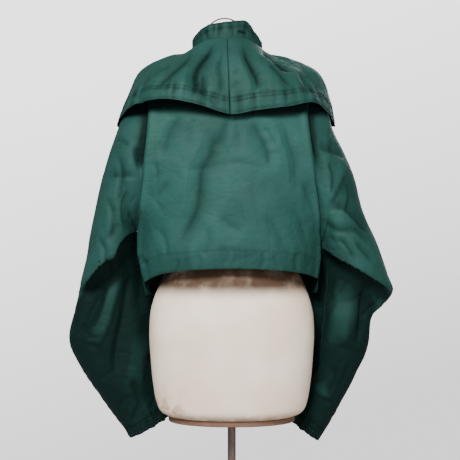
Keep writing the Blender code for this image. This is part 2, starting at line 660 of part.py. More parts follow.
def block(name, size, centre, finish, bevel):
    made = bmesh.new()
    bmesh.ops.create_cube(made, size=1.0)
    bmesh.ops.scale(made, vec=size, verts=made.verts)
    bmesh.ops.bevel(made, geom=made.edges, offset=bevel, segments=2, profile=0.5,
                    affect="EDGES", material=-1)
    mesh = bpy.data.meshes.new(name)
    made.to_mesh(mesh)
    made.free()
    mesh.shade_smooth()
    mesh.set_sharp_from_angle(angle=math.radians(40))
    made = add(name, mesh, finish)
    made.location = centre
    return made


slider_at = collar_point(270, SLIDER_UP)
slider_y = slider_at[1] - ZIP_THICK / 2 - SEAM - SLIDER[1] / 2
block("zip_slider", SLIDER, (slider_at[0], slider_y, slider_at[2]), zip_metal, 0.0011)
pull_y = slider_y - SLIDER[1] / 2 - PULL_GAP - PULL[1] / 2
hinge = (slider_at[0], pull_y, slider_at[2] + HINGE_UP)
pull = block("zip_pull", PULL, hinge, zip_metal, 0.0006)
for vertex in pull.data.vertices:
    vertex.co.z -= PULL[2] / 2 - PULL_ABOVE

# ------------------------------------------------------------------ press studs of the hood
STUD_RADIUS, STUD_HEIGHT = 0.0038, 0.0020
STUD_LEFT, STUD_RIGHT = (0.200, 0.062, 1.243), (-0.182, 0.058, 1.240)


def stud(name, half, near):
    """A stud on the inner face of the hood, next to its edge."""
    row, column = 1, int(np.linalg.norm(half[1] - near, axis=1).argmin())
    normal = normals_of(half)[row, column]
    centre = half[row, column] - normal * (WALL / 2 + 2 * SEAM + STUD_HEIGHT / 2)
    bpy.ops.mesh.primitive_cylinder_add(vertices=20, radius=STUD_RADIUS, depth=STUD_HEIGHT,
                                        location=centre)
    made = bpy.context.object
    made.name = name
    made.rotation_mode = "QUATERNION"
    made.rotation_quaternion = Vector(normal.tolist()).to_track_quat("Z", "Y")
    made.data.materials.append(zip_metal)
    bpy.context.collection.objects.unlink(made)
    pieces.objects.link(made)
    return made


stud("snap_left", hood_left, STUD_LEFT)
stud("snap_right", hood_right, STUD_RIGHT)

# ------------------------------------------------------------------ dress form
# Sections of the torso. left and right are its half-widths, back and front its half-depths,
# square how far a section is from an oval.
FORM_SECTIONS = table(
    "z     left   right   back  front  square",
    (0.6505, 0.124, 0.124, 0.086, 0.092, 2.1),
    (0.660, 0.138, 0.138, 0.098, 0.104, 2.2),
    (0.680, 0.1470, 0.1470, 0.105, 0.111, 2.2),
    (0.720, 0.1535, 0.1535, 0.111, 0.116, 2.25),
    (0.765, 0.1575, 0.1575, 0.115, 0.118, 2.3),
    (0.811, 0.1600, 0.1600, 0.117, 0.117, 2.3),
    (0.860, 0.1560, 0.1560, 0.112, 0.111, 2.2),
    (0.910, 0.1390, 0.1390, 0.097, 0.099, 2.1),
    (0.960, 0.1180, 0.1180, 0.080, 0.087, 2.1),
    (1.000, 0.1080, 0.1080, 0.074, 0.083, 2.1),
    (1.050, 0.1150, 0.1150, 0.078, 0.090, 2.1),
    (1.110, 0.1290, 0.1290, 0.088, 0.107, 2.1),
    (1.165, 0.1380, 0.1360, 0.094, 0.115, 2.1),
    (1.215, 0.1400, 0.1370, 0.093, 0.104, 2.1),
    (1.255, 0.1430, 0.1370, 0.084, 0.084, 2.1),
    (1.285, 0.1480, 0.1400, 0.062, 0.058, 1.9),
    (1.303, 0.1480, 0.1400, 0.040, 0.038, 1.6),
)
FORM_COLUMNS, FORM_ROWS = 28, 19
SHOULDERS = table(
    "reach  back   front",
    (0.1350, 0.036, 0.034),
    (0.1100, 0.042, 0.040),
    (0.0900, 0.046, 0.045),
    (0.0740, 0.049, 0.048),
)
SHOULDER_SQUARE = 0.85   # the ridge under the shoulder seams is narrow
NECK_SECTIONS = table(
    "z          half    depth",
    (1.3475,     0.0610, 0.050),
    (1.3560,     0.0560, 0.048),
    (NECK_TOP_Z, 0.0550, 0.047),
)


def oval(left, right, back_reach, front_reach, square, z, columns=FORM_COLUMNS):
    """A ring from the wearer's left round the back, closed by its first point."""
    turn = np.linspace(0, 2 * math.pi, columns + 1)
    c, s = np.cos(turn), np.sin(turn)
    x = np.sign(c) * np.abs(c) ** (2 / square)
    y = np.sign(s) * np.abs(s) ** (2 / square)
    x = np.where(x > 0, x * left, x * right)
    y = np.where(y > 0, y * back_reach, y * front_reach)
    return np.stack([x, y, np.full_like(x, z)], axis=1)


def neck_oval(half, depth, z):
    """A ring of the neck, which stands a little to one side."""
    return oval(half + NECK_X, half - NECK_X, depth, depth, 2.0, z)


def shoulder_fall(edge_rows):
    """How steeply a shoulder seam falls from the neck seam to the armhole."""
    end = point(edge_rows[-1], "back")
    return (NECK_SEAM_Z - end[2]) / (abs(end[0] - NECK_X) - NECK_HALF_WIDTH)


stack = [oval(row["left"], row["right"], row["back"], row["front"], row["square"], row["z"])
         for row in FORM_SECTIONS]
lower_part = loft(stack, FORM_ROWS)
rest = EASE + WALL / 2
tops = []
for row in SHOULDERS:
    fall = shoulder_fall(SIDE_LEFT) * (row["reach"] - NECK_X - NECK_HALF_WIDTH)
    right = fall / shoulder_fall(SIDE_RIGHT) + NECK_HALF_WIDTH - NECK_X
    tops.append(oval(row["reach"], right, row["back"], row["front"], SHOULDER_SQUARE,
                     NECK_SEAM_Z - rest - fall))
for row in NECK_SECTIONS:
    tops.append(neck_oval(row["half"], row["depth"], row["z"]))
barrel("form_torso", np.concatenate([lower_part, tops]), linen)

PLATE = (0.123, 0.085, 0.091)            # half its width, and its reach to back and front
PLATE_ROUNDING = (0.0020, 0.0015)        # how far its lower edge draws in, and how high up
half, back_reach, front_reach = PLATE
inset, up = PLATE_ROUNDING
barrel("form_base_plate", np.array([
    oval(half - inset, half - inset, back_reach - inset, front_reach - inset, 2.1, FORM_BASE_Z),
    oval(half, half, back_reach, front_reach, 2.1, FORM_BASE_Z + up),
    oval(half, half, back_reach, front_reach, 2.1, FORM_BASE_Z + FORM_PLATE),
]), wood)

TOUCH = 0.0003           # space between pieces of the form that stand on each other
CAP = table(
    "up                  half    depth",
    (0.0,                0.0560, 0.048),
    (0.0020,             0.0570, 0.049),
    (CAP_HEIGHT - 0.004, 0.0570, 0.049),
    (CAP_HEIGHT,         0.0530, 0.045),
)
cap_z = NECK_TOP_Z + TOUCH
barrel("form_neck_cap", np.array([neck_oval(row["half"], row["depth"], cap_z + row["up"])
                                  for row in CAP]), wood)

BAIL_X, BAIL_Y = 0.0135, -0.002
BAIL_POINTS = 19
bail_foot = cap_z + CAP_HEIGHT + TOUCH
bail_curve = bpy.data.curves.new("form_bail", "CURVE")
bail_curve.dimensions = "3D"
bail_curve.bevel_depth = BAIL_WIRE
bail_curve.bevel_resolution = 2
bail_curve.use_fill_caps = True
arc = bail_curve.splines.new("POLY")
arc.points.add(BAIL_POINTS - 1)
for k in range(BAIL_POINTS):
    a = math.pi * k / (BAIL_POINTS - 1)
    arc.points[k].co = (BAIL_X - BAIL_RADIUS * math.cos(a), BAIL_Y,
                        bail_foot + BAIL_RADIUS * math.sin(a), 1.0)
bail = bpy.data.objects.new("form_bail", bail_curve)
pieces.objects.link(bail)
bail_curve.materials.append(bronze)

# ------------------------------------------------------------------ stand
def disc(name, radius, bottom, top, finish, vertices, bevel=0.0):
    bpy.ops.mesh.primitive_cylinder_add(vertices=vertices, radius=radius, depth=top - bottom,
                                        location=(0, 0, (top + bottom) / 2))
    made = bpy.context.object
    made.name = name
    made.data.materials.append(finish)
    made.data.shade_smooth()
    made.data.set_sharp_from_angle(angle=math.radians(40))
    bpy.context.collection.objects.unlink(made)
    pieces.objects.link(made)
    if bevel:
        rounding = made.modifiers.new("rounding", "BEVEL")
        rounding.width = bevel
        rounding.segments = 2
        rounding.limit_method = "ANGLE"
    return made


disc("stand_base", BASE_RADIUS, 0.0, BASE_HEIGHT, bronze, 48, 0.004)
disc("stand_pole", POLE_RADIUS, BASE_HEIGHT + TOUCH, FORM_BASE_Z - TOUCH, bronze, 28)
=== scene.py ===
"""The looks of a cropped nylon blouson, worn by a limbless dress form and seen from behind.

Metres, +Z up, floor at Z = 0. The jacket's front faces -Y and its wearer's left is +X.
"""

import math

import bmesh
import bpy
import numpy as np
from mathutils import Matrix, Vector, noise


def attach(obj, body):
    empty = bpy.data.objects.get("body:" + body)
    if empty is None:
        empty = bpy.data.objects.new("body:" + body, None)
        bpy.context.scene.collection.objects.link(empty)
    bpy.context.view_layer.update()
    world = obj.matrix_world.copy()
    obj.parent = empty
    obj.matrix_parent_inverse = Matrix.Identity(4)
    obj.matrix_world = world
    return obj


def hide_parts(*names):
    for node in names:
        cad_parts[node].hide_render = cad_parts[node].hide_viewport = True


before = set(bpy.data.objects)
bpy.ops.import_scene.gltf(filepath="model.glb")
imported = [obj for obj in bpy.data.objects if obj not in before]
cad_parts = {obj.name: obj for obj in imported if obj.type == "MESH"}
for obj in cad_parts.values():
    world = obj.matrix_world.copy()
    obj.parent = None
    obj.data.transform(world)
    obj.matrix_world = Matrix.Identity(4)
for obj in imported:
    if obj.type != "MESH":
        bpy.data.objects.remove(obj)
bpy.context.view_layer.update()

# ------------------------------------------------------------------ back panel
# The back is one piece of thin crushed nylon, sewn to the fronts at the sides and shoulders.
# It hangs from the shoulders in long folds and bags a little over its hem casing.
BACK, FRONT = LEFT, RIGHT = 1.0, -1.0
CLOTH = 0.0008           # thickness of the nylon with its lining
DARKEST = 0.011          # how much painted shade, counted as fold depth, gives the nylon its darkest colour
SPACE = 0.0003           # what an edge keeps from a seam
SEAM_WIDTH, PUCKER_WIDTH = 0.0022, 0.011


def table(text, plain=()):
    """Rows of sizes in millimetres as dictionaries of metres, so that each is read by its
    column's name. Columns in plain hold other numbers, and a name leads its row."""
    names, *rows = [line.split() for line in text.strip().splitlines()]
    return [{name: float(cell) / (1 if name in plain else 1000)
             for name, cell in zip(names, row) if name != "name"} for row in rows]


def point(row, prefix):
    """The x, y and z columns of a row that share a prefix, as one point."""
    return np.array([row[prefix + "_x"], row[prefix + "_y"], row[prefix + "_z"]])


def spline(rows, where):
    """Catmull-Rom values through rows, at positions from 0 to len(rows) - 1."""
    rows = np.asarray(rows, float)
    first = 2 * rows[0] - rows[1]
    last = 2 * rows[-1] - rows[-2]
    padded = np.concatenate([first[None], rows, last[None]])
    made = []
    for t in where:
        k = min(int(t), len(rows) - 2)
        f = t - k
        a, b, c, d = padded[k:k + 4]
        made.append(0.5 * (2 * b + (c - a) * f + (2 * a - 5 * b + 4 * c - d) * f * f
                           + (3 * b - a - 3 * c + d) * f ** 3))
    return np.array(made)


def lengths(points):
    """How far each point of a line, or of each column of a grid, lies from the first one."""
    steps = np.linalg.norm(np.diff(points, axis=0), axis=-1)
    return np.concatenate([np.zeros_like(steps[:1]), np.cumsum(steps, axis=0)])


def resample(dense, count):
    """count points evenly spaced by length along a dense line of points."""
    length = lengths(dense)
    wanted = np.linspace(0.0, length[-1], count)
    axes = range(dense.shape[1])
    return np.stack([np.interp(wanted, length, dense[:, k]) for k in axes], axis=1)


def through(points, count):
    """A smooth curve through points, as count points evenly spaced along it."""
    fine = 24 * len(points)
    where = np.linspace(0, len(points) - 1, fine)
    return resample(spline(points, where), count)


def places(rows, count):
    """Positions along a stack of rows that space count new rows evenly on average."""
    steps = np.linalg.norm(np.diff(rows, axis=0), axis=2).mean(axis=1)
    length = np.concatenate([[0.0], np.cumsum(steps)])
    return np.interp(np.linspace(0.0, length[-1], count), length, np.arange(len(rows)))


def loft(rows, count):
    """A grid of count rows, smooth through the given ones."""
    rows = np.asarray(rows, float)
    return spline(rows, places(rows, count))


def smoothstep(x):
    x = np.clip(x, 0.0, 1.0)
    return x * x * (3 - 2 * x)


def normals_of(grid):
    """Outward unit normals of a grid: columns run left to right seen from outside, rows up."""
    across = np.gradient(grid, axis=1)
    if np.allclose(grid[:, 0], grid[:, -1]):
        across[:, 0] = across[:, -1] = (grid[:, 1] - grid[:, -2]) / 2
    n = np.cross(across, np.gradient(grid, axis=0))
    return n / np.maximum(np.linalg.norm(n, axis=2, keepdims=True), 1e-12)


# The edges of the back and the front: the side seam up to the underarm, which they share, and
# then each one's own half of the armhole.
SIDE_LEFT = table("""
name back_x back_y back_z front_x front_y front_z
hem       168.2 21  908 166  20  884
waist       181 26  960 181  26  960
underarm    182 28 1008 182  28 1008
low         174 66 1052 172 -44 1052
blade_low   167 87 1112 161 -80 1112
blade       160 95 1175 153 -95 1172
upper       156 88 1236 151 -86 1230
yoke        164 50 1286 162 -48 1282
shoulder    176  0 1309 176   0 1309
""")
SIDE_RIGHT = table("""
name back_x back_y back_z front_x front_y front_z
hem       -166.6 21  915 -165  20  890
waist       -171 26  952 -171  26  952
underarm    -171 28  986 -171  28  986
low         -167 66 1040 -166 -44 1040
blade_low   -158 87 1104 -155 -80 1104
blade       -149 95 1170 -145 -95 1168
upper       -142 88 1236 -140 -86 1230
yoke        -152 50 1285 -150 -48 1281
shoulder    -168  0 1307 -168   0 1307
""")
# How far the cloth stands out at the middle, and at what height. bow is how square it is.
BACK_MIDDLE = table("""
y z bow
116 938.5   3
121   985   3
122  1026   3
122  1075 2.8
121  1130 2.6
117  1190 2.4
109  1250 2.2
 88  1315   2
""", plain=("bow",))
ARCH_SHARE = 0.55
UNDERARM = 2             # the row of the side tables where the side seam ends


def neck_point(turn):
    """A point of the neck seam. turn is 0 at the wearer's left, 90 at the back, in degrees."""
    a = math.radians(turn)
    reach = NECK_BACK if math.sin(a) > 0 else NECK_FRONT
    t = math.sin(a)
    z = NECK_SEAM_Z + NECK_SEAM_RISE * t - NECK_SEAM_SAG * t * t
    return np.array([NECK_X + NECK_HALF_WIDTH * math.cos(a), reach * t, z])


def section(left, right, middle, columns):
    """One row of a panel between two edge points, bowed out and up to its middle."""
    w = np.linspace(-1.0, 1.0, columns + 1)[:, None]
    base = left + (right - left) * (w + 1) / 2
    out = 1 - np.abs(w) ** middle["bow"]
    rise = ARCH_SHARE * (1 - w ** 2) + (1 - ARCH_SHARE) * (1 - w ** 8)
    base[:, 1:2] += (middle["y"] - base[:, 1:2]) * out
    base[:, 2:3] += (middle["z"] - base[:, 2:3]) * rise
    return base


def shoulder_line(first, last, turns, shoulder_columns, neck_columns):
    """The top row of a panel: a shoulder seam, half of the neck seam, a shoulder seam."""
    neck = np.array([neck_point(turn) for turn in np.linspace(*turns, 60)])
    one = np.linspace(first, neck[0], shoulder_columns + 1)[:-1]
    other = np.linspace(neck[-1], last, shoulder_columns + 1)[1:]
    return np.concatenate([one, resample(neck, neck_columns + 1), other])


def side_edge(edge_rows, where):
    """A panel's outer edge: side seam and armhole, with a corner at the underarm."""
    seam = spline(edge_rows[:UNDERARM + 1], np.minimum(where, UNDERARM))
    hole = spline(edge_rows[UNDERARM:], np.maximum(where, UNDERARM) - UNDERARM)
    return np.where((where < UNDERARM)[:, None], seam, hole)


def panel(first, last, side, middles, turns, columns, count):
    """A body panel's grid, from its first edge to its last one seen from outside."""
    across = 2 * columns[0] + columns[1]
    rows = [section(point(a, side), point(b, side), middle, across)
            for a, b, middle in zip(first, last, middles)]
    rows.append(shoulder_line(point(first[-1], side), point(last[-1], side), turns, *columns))
    rows = np.array(rows)
    where = places(rows, count)
    grid = spline(rows, where)
    for column in (0, -1):
        grid[:, column] = side_edge(rows[:, column], where)
    return grid


NECK_X = 0.0085          # the neck stands a little towards the wearer's left
NECK_HALF_WIDTH = 0.068
NECK_BACK, NECK_FRONT = 0.058, 0.078
NECK_SEAM_Z, NECK_SEAM_RISE, NECK_SEAM_SAG = 1.343, 0.0295, 0.0105


def folds(text):
    """Creases, a line each, in millimetres: the depth, the reach to the viewer's left and
    right, and after the colon x,z points that the crease runs down through."""
    made = []
    for line in text.strip().splitlines():
        sizes, path = (np.array(part.replace(",", " ").split(), float) / 1000
                       for part in line.split(":"))
        made.append((path.reshape(-1, 2), *sizes))
    return made


def creased(grid, creases, facing, core=4.0):
    """The grid with creases pressed in, seen from the back or the front. A crease's narrower
    flank is a flat facet, and the wider one fades out. A negative depth raises a flat facet
    instead. Also gives painted shade along each crease, and painted light on a raised facet:
    the higher core is, the nearer the line the painted shade keeps."""
    normal = normals_of(grid)
    towards = smoothstep(normal[:, :, 1] * facing * 2.5 + 0.05)
    moved, dark = np.zeros(grid.shape[:2]), np.zeros(grid.shape[:2])
    seen = np.stack([-grid[:, :, 0] * facing, grid[:, :, 2]], axis=2)
    for line, depth, left, right in creases:
        path = through(line * (-facing, 1), 48)
        gap = seen[:, :, None] - path[None, None]
        away = np.linalg.norm(gap, axis=3)
        nearest = away.argmin(axis=2)
        tangent = np.gradient(path, axis=0)[nearest]
        offset = np.take_along_axis(gap, nearest[:, :, None, None], axis=2)[:, :, 0]
        aside = tangent[:, :, 0] * offset[:, :, 1] - tangent[:, :, 1] * offset[:, :, 0]
        width = np.where(aside > 0, right, left)
        steep = np.where(aside > 0, right < left, left <= right)
        near = 1 - np.clip(away.min(axis=2) / width, 0.0, 1.0)
        along = nearest / (len(path) - 1.0)
        fading = 0.28 if depth > 0 else 0.48
        ends = smoothstep(along / fading) * smoothstep((1 - along) / fading)
        if depth < 0:
            flank, shade = smoothstep(near * 1.5), smoothstep(near * 1.2)
        else:
            flank, shade = np.where(steep, near, near ** 1.5), near ** core
        moved += depth * flank * ends
        # Painted shade along the crease, or painted light on a raised facet.
        dark += depth * shade * ends
    return grid - normal * (moved * towards)[:, :, None], dark * towards


noise.seed_set(7)        # else the noise's vectors would differ from run to run


def crumpled(grid, broad, fine, seed):
    """The grid with the soft swells of limp nylon, and thin sharp creases that come and go,
    both in millimetres. Also gives the height, which callers paint as light and shade."""
    normal = normals_of(grid)
    rows, columns = grid.shape[:2]
    height = np.zeros((rows, columns))
    shift = Vector((seed * 7.3, seed * 3.1, seed * 5.7))
    for i in range(rows):
        for j in range(columns):
            spot = Vector(grid[i, j])
            warp = noise.noise_vector(spot * 10 + shift) * 0.5
            swell = noise.noise(spot * 17 + warp + shift)
            slant = Vector((spot.x * 0.8 + spot.z * 0.6, spot.y,
                            (spot.z * 0.8 - spot.x * 0.6) * 0.3))
            level = Vector((spot.x * 0.35 + spot.z * 0.1, spot.y, spot.z))
            long = max(0.0, 1 - abs(noise.noise(slant * 24 + warp - shift)) * 9)
            short = max(0.0, 1 - abs(noise.noise(level * 48 + warp * 2 + shift * 2)) * 6)
            share = min(max(noise.noise(spot * 12 - warp - shift * 2) * 2.5 + 0.5, 0.0), 1.0)
            height[i, j] = broad * swell * 2 - fine * (long * share * 1.2 + short * (1 - share))
    if np.allclose(grid[:, 0], grid[:, -1]):
        height[:, -1] = height[:, 0]
    return grid + normal * height[:, :, None] / 1000, height / 1000


def trimmed(grid, left=0.0, right=0.0, bottom=0.0, top=0.0):
    """The grid with its edges drawn back along the cloth by the distances given."""
    out = grid.copy()

    def drawn(edge, inner, distance):
        way = inner - edge
        return edge + way / np.linalg.norm(way, axis=1, keepdims=True) * distance

    out[:, 0] = drawn(out[:, 0], out[:, 1], left)
    out[:, -1] = drawn(out[:, -1], out[:, -2], right)
    out[0] = drawn(out[0], out[1], bottom)
    out[-1] = drawn(out[-1], out[-2], top)
    return out


def from_edge(grid, edge):
    """How far each point lies from one end of its column, along the cloth. edge is 0 or -1."""
    up = lengths(grid)
    return up if edge == 0 else up[-1] - up


def seamed(grid, distance, lines, depth, pucker, seed):
    """The grid drawn in along seams at some distances from an edge, with puckers across. Also
    gives how far each point is drawn in, which callers paint as light and shade.
    """
    normal = normals_of(grid)
    run = lengths(grid.mean(axis=0))
    wave = np.array([noise.noise(Vector((s * 95, seed * 9.0, 0.0))) for s in run])
    wave += 0.6 * np.array([noise.noise(Vector((s * 210, seed * 4.0, 2.0))) for s in run])
    moved = np.zeros(grid.shape[:2])
    for line in lines:
        far = np.abs(distance - line)
        moved -= depth * np.exp(-(far / SEAM_WIDTH) ** 2)
        moved += pucker * wave[None, :] * np.exp(-(far / PUCKER_WIDTH) ** 2)
    return grid + normal * moved[:, :, None], -moved


def new_finish(name):
    """A material with its node tree and its shader."""
    made = bpy.data.materials.new(name)
    made.use_nodes = True
    return made, made.node_tree, made.node_tree.nodes["Principled BSDF"]


def wired(tree, kind, out, inputs=None, **settings):
    """One output of a new node. Each input is given as a value or as another node's output."""
    made = tree.nodes.new("ShaderNode" + kind)
    for name, value in settings.items():
        setattr(made, name, value)
    for name, value in (inputs or {}).items():
        if isinstance(value, bpy.types.NodeSocket):
            tree.links.new(value, made.inputs[name])
        else:
            made.inputs[name].default_value = value
    return made.outputs[out]


def toned(tree, share, low, high):
    """A colour between two, each given as its share, red, green and blue."""
    made = tree.nodes.new("ShaderNodeValToRGB")
    tree.links.new(share, made.inputs["Fac"])
    for stop, (at, *colour) in zip(made.color_ramp.elements, (low, high)):
        stop.position = at
        stop.color = (*colour, 1.0)
    return made.outputs["Color"]


def mixed(tree, share, base, top):
    """The base colour with a share of the top one over it."""
    return wired(tree, "Mix", "Result", {"Factor": share, "A": base, "B": (*top, 1.0)},
                 data_type="RGBA")


def plain_colour(name, colour, roughness):
    """A finish of one colour."""
    made, tree, shader = new_finish(name)
    shader.inputs["Base Color"].default_value = (*colour, 1.0)
    shader.inputs["Roughness"].default_value = roughness
    return made


def nylon_finish():
    """Crushed nylon taffeta: dark green, with a soft sheen and a web of tiny creases."""
    made, tree, shader = new_finish("nylon_taffeta")
    spot = wired(tree, "TexCoord", "Object")
    # How much painted shade the cloth has, read from its attribute.
    depth = wired(tree, "Attribute", "Fac", attribute_name="painted_shade")

    def cloudy(scale, detail, **more):
        return wired(tree, "TexNoise", "Fac",
                     {"Vector": spot, "Scale": scale, "Detail": detail, **more})

    def crinkle(scale, sharpness, turn, stretch):
        """A web of thin creases: they run where a slow noise has its middle value."""
        turned = wired(tree, "Mapping", "Vector",
                       {"Vector": spot, "Rotation": turn, "Scale": stretch})
        slow = cloudy(scale, 1.5, Vector=turned, Distortion=0.5)
        apart = wired(tree, "Math", "Value", {0: slow, 1: 0.5}, operation="SUBTRACT")
        size = wired(tree, "Math", "Value", {0: apart}, operation="ABSOLUTE")
        return wired(tree, "Math", "Value", {0: size, 1: sharpness}, operation="MULTIPLY",
                     use_clamp=True)

    def plus(value, share, other):
        return wired(tree, "Math", "Value", {0: value, 1: share, 2: other},
                     operation="MULTIPLY_ADD")

    green = toned(tree, cloudy(14.0, 5.0, Roughness=0.6),
                  (0.30, 0.0130, 0.0540, 0.0445), (0.72, 0.0195, 0.0790, 0.0650))
    # Painted shade: the green darkens towards a near-black green.
    colour = mixed(tree, depth, green, (0.0028, 0.0098, 0.0084))
    tree.links.new(colour, shader.inputs["Base Color"])
    level, steep, across = (0.40, 1.0, 1.0), (1.0, 1.0, 0.45), (0.9, 0.2, 0.7)
    grain = cloudy(420.0, 4.0, Roughness=0.65)
    heights = plus(grain, 0.05, crinkle(36.0, 10.0, (0.3, 0.5, 0.2), level))
    heights = plus(crinkle(66.0, 7.0, across, level), 0.35, heights)
    heights = plus(crinkle(17.0, 14.0, (0.1, 0.9, 0.4), steep), 0.90, heights)
    bump = wired(tree, "Bump", "Normal",
                 {"Height": heights, "Strength": 0.34, "Distance": 0.0011})
    tree.links.new(bump, shader.inputs["Normal"])
    # Painted shade also dulls the specular.
    shaded_specular = wired(tree, "MapRange", "Result", {"Value": depth, "To Min": 0.14, "To Max": 0.04})
    tree.links.new(shaded_specular, shader.inputs["Specular IOR Level"])
    shader.inputs["Roughness"].default_value = 0.64
    shader.inputs["Sheen Weight"].default_value = 0.03
    shader.inputs["Sheen Roughness"].default_value = 0.45
    shader.inputs["Sheen Tint"].default_value = (0.35, 0.75, 0.66, 1.0)
    return made


nylon = nylon_finish()


def mesh_of(name, made):
    mesh = bpy.data.meshes.new(name)
    made.to_mesh(mesh)
    made.free()
    mesh.shade_smooth()
    return mesh


def placed(name, data):
    """A new object in the scene."""
    made = bpy.data.objects.new(name, data)
    bpy.context.scene.collection.objects.link(made)
    return made


def piece(name, mesh, finish, body="root"):
    """An object of one finish that rides on a body."""
    made = placed(name, mesh)
    mesh.materials.append(finish)
    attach(made, body)
    return made


def surface(grid, closed=False, share=None):
    """An open surface through a grid of points. A closed grid's last column is its first. share
    is how much painted shade the cloth gets at each point, from 0 to 1."""
    rows, columns = grid.shape[:2]
    made = bmesh.new()
    # The painted shade goes into this attribute, which the nylon's finish reads.
    painted_shade = made.verts.layers.float.new("painted_shade")
    bmesh.ops.create_grid(made, x_segments=columns - 1, y_segments=rows - 1, size=1.0)
    for vertex in made.verts:
        column = round((vertex.co.x + 1) / 2 * (columns - 1))
        row = round((vertex.co.y + 1) / 2 * (rows - 1))
        vertex.co = grid[row, column]
        vertex[painted_shade] = 0.0 if share is None else share[row, column]
    if closed:
        bmesh.ops.remove_doubles(made, verts=made.verts, dist=0.00001)
    return made


def cloth(name, grid, painted_darkness, closed=False, wall=CLOTH):
    """A thin shell of nylon through a grid. Its third argument is each point's painted shade."""
    made = surface(grid, closed, np.clip(painted_darkness / DARKEST, 0.0, 1.0) * 0.95)
    shell = piece(name, mesh_of(name, made), nylon)
    thickness = shell.modifiers.new("wall", "SOLIDIFY")
    thickness.thickness = wall
    thickness.offset = 0.0
    return shell


STITCH, STITCH_GAP, THREAD = 0.0024, 0.0012, 0.00028
thread = plain_colour("thread", (0.012, 0.040, 0.033), 0.6)


def stitches(name, lines):
    """Rows of stitches as one mesh. Each line is (points, normals) along a seam."""
    made = bmesh.new()
    for points, normals in lines:
        run = lengths(points)
        pitch = STITCH + STITCH_GAP
        for start in np.arange(pitch, run[-1] - pitch, pitch):
            a = np.array([np.interp(start, run, points[:, k]) for k in range(3)])
            b = np.array([np.interp(start + STITCH, run, points[:, k]) for k in range(3)])
            up = np.array([np.interp(start, run, normals[:, k]) for k in range(3)])
            middle = (a + b) / 2 + up * (CLOTH / 2 + THREAD * 0.4)
            box = bmesh.ops.create_cube(made, size=1.0)["verts"]
            bmesh.ops.scale(made, vec=(STITCH, THREAD * 2, THREAD), verts=box)
            turn = Vector(b - a).to_track_quat("X", "Z").to_matrix()
            bmesh.ops.rotate(made, cent=(0, 0, 0), matrix=turn, verts=box)
            bmesh.ops.translate(made, vec=middle, verts=box)
    return piece(name, mesh_of(name, made), thread)


def seam_line(grid, distance, at):
    """Points and normals along the cloth where the distance from an edge has one value."""
    normal = normals_of(grid)
    points, ups = [], []
    for column in range(grid.shape[1]):
        column_at = distance[:, column]
        order = np.argsort(column_at)
        for target, source in ((points, grid), (ups, normal)):
            target.append([np.interp(at, column_at[order], source[order, column, k])
                           for k in range(3)])
    return np.array(points), np.array(ups)


def seam_lines(grid, distance, places_up):
    """The same for several distances, as stitches takes them."""
    return [seam_line(grid, distance, at) for at in places_up]


BACK_CREASES = folds("""
6 12 34: 93,1222 108,1205 117,1189 127,1163 134,1139
11 24 60: 18,1214 33,1176 42,1146 57,1122 60,1099 66,1052 79,1025 101,986 117,971
4 9 14: 7,1220 14,1190 29,1157
8 34 20: -37,1218 -48,1193 -61,1170 -69,1143 -67,1120
3 10 14: -56,1205 -71,1187 -82,1161
5 13 26: -87,1225 -104,1179 -116,1141 -118,1109 -120,1076
2.2 7 12: 103,1117 49,1125 -8,1133 -67,1125 -109,1124
3.5 8 20: 117,1102 132,1084 145,1065
2.4 7 11: 150,1139 139,1119 145,1098
2.2 8 12: 158,1084 136,1056 127,1034
-2.6 16 18: -21,1109 -26,1065 -37,1017 -56,981
3 16 22: 23,1036 -1,1016 -26,1004
3.4 14 20: -56,1039 -78,1017 -94,986 -102,962
3.2 12 20: -106,1056 -128,1025 -142,986
2.6 9 14: -133,1102 -146,1065 -159,1039
3 12 18: 154,1025 132,1004 121,975 127,951
3 12 18: 49,1017 42,988 55,958
2.4 7 9: 20,986 10,964 14,940
2 6 8: -2,981 -8,960 -2,942
3.4 8 12: -50,936 -58,951 -56,973
2.6 5 8: 110,925 101,944 103,960
2.4 5 8: 95,927 88,944 80,960
4 9 12: 176,964 171,951 156,940
2 6 8: 66,927 58,947 64,969
2.6 7 10: -126,925 -120,951 -128,973
2 6 8: -89,933 -83,951 -72,966
1.8 5 7: -26,938 -28,955 -21,973
2.2 14 16: -8,1213 -13,1181 -8,1148
2.4 12 18: 66,1220 77,1194 86,1161
""")
HEM_STITCHES = (0.003, 0.034)      # the two rows that hold the hem's casing, from its edge
HEM_SINK, HEM_PUCKER = 0.0006, 0.0007
EDGE_ROLL, ROLL_AT, ROLL_WIDTH = 0.0030, 0.008, 0.007   # the cloth swells beside the armholes
# Painted shade at the back's armhole seams and in a band along its hem, and that band's height.
SEAM_SHADE, HEM_SHADE, HEM_SHADE_HEIGHT = 0.004, 0.0018, 0.024
HOOD_SHADE, SHADOW_START = 0.013, 0.004   # how dark the painted shadow under the hood is, and from how far down
# The hood's edge from the wearer's left to right, and how far its painted shadow reaches below
# it.
UNDER_HOOD = table("""
x z reach
 185 1236 14
 141 1249 24
 117 1252 28
  93 1250 28
  69 1244 22
  37 1235 13
   7 1227  8
 -43 1232 13
 -70 1233 17
-116 1240 21
-158 1244 22
-182 1235 14
""")


def painted_hood_shadow(grid):
    """How much painted shadow the cloth at each point gets right under the hood's edge."""
    across = [row["x"] for row in UNDER_HOOD][::-1]
    edge, reach = (np.interp(grid[:, :, 0], across, [row[key] for row in UNDER_HOOD][::-1])
                   for key in ("z", "reach"))
    near = smoothstep(1 - (edge - SHADOW_START - grid[:, :, 2]) / reach)
    return HOOD_SHADE * near * (normals_of(grid)[:, :, 1] > 0)


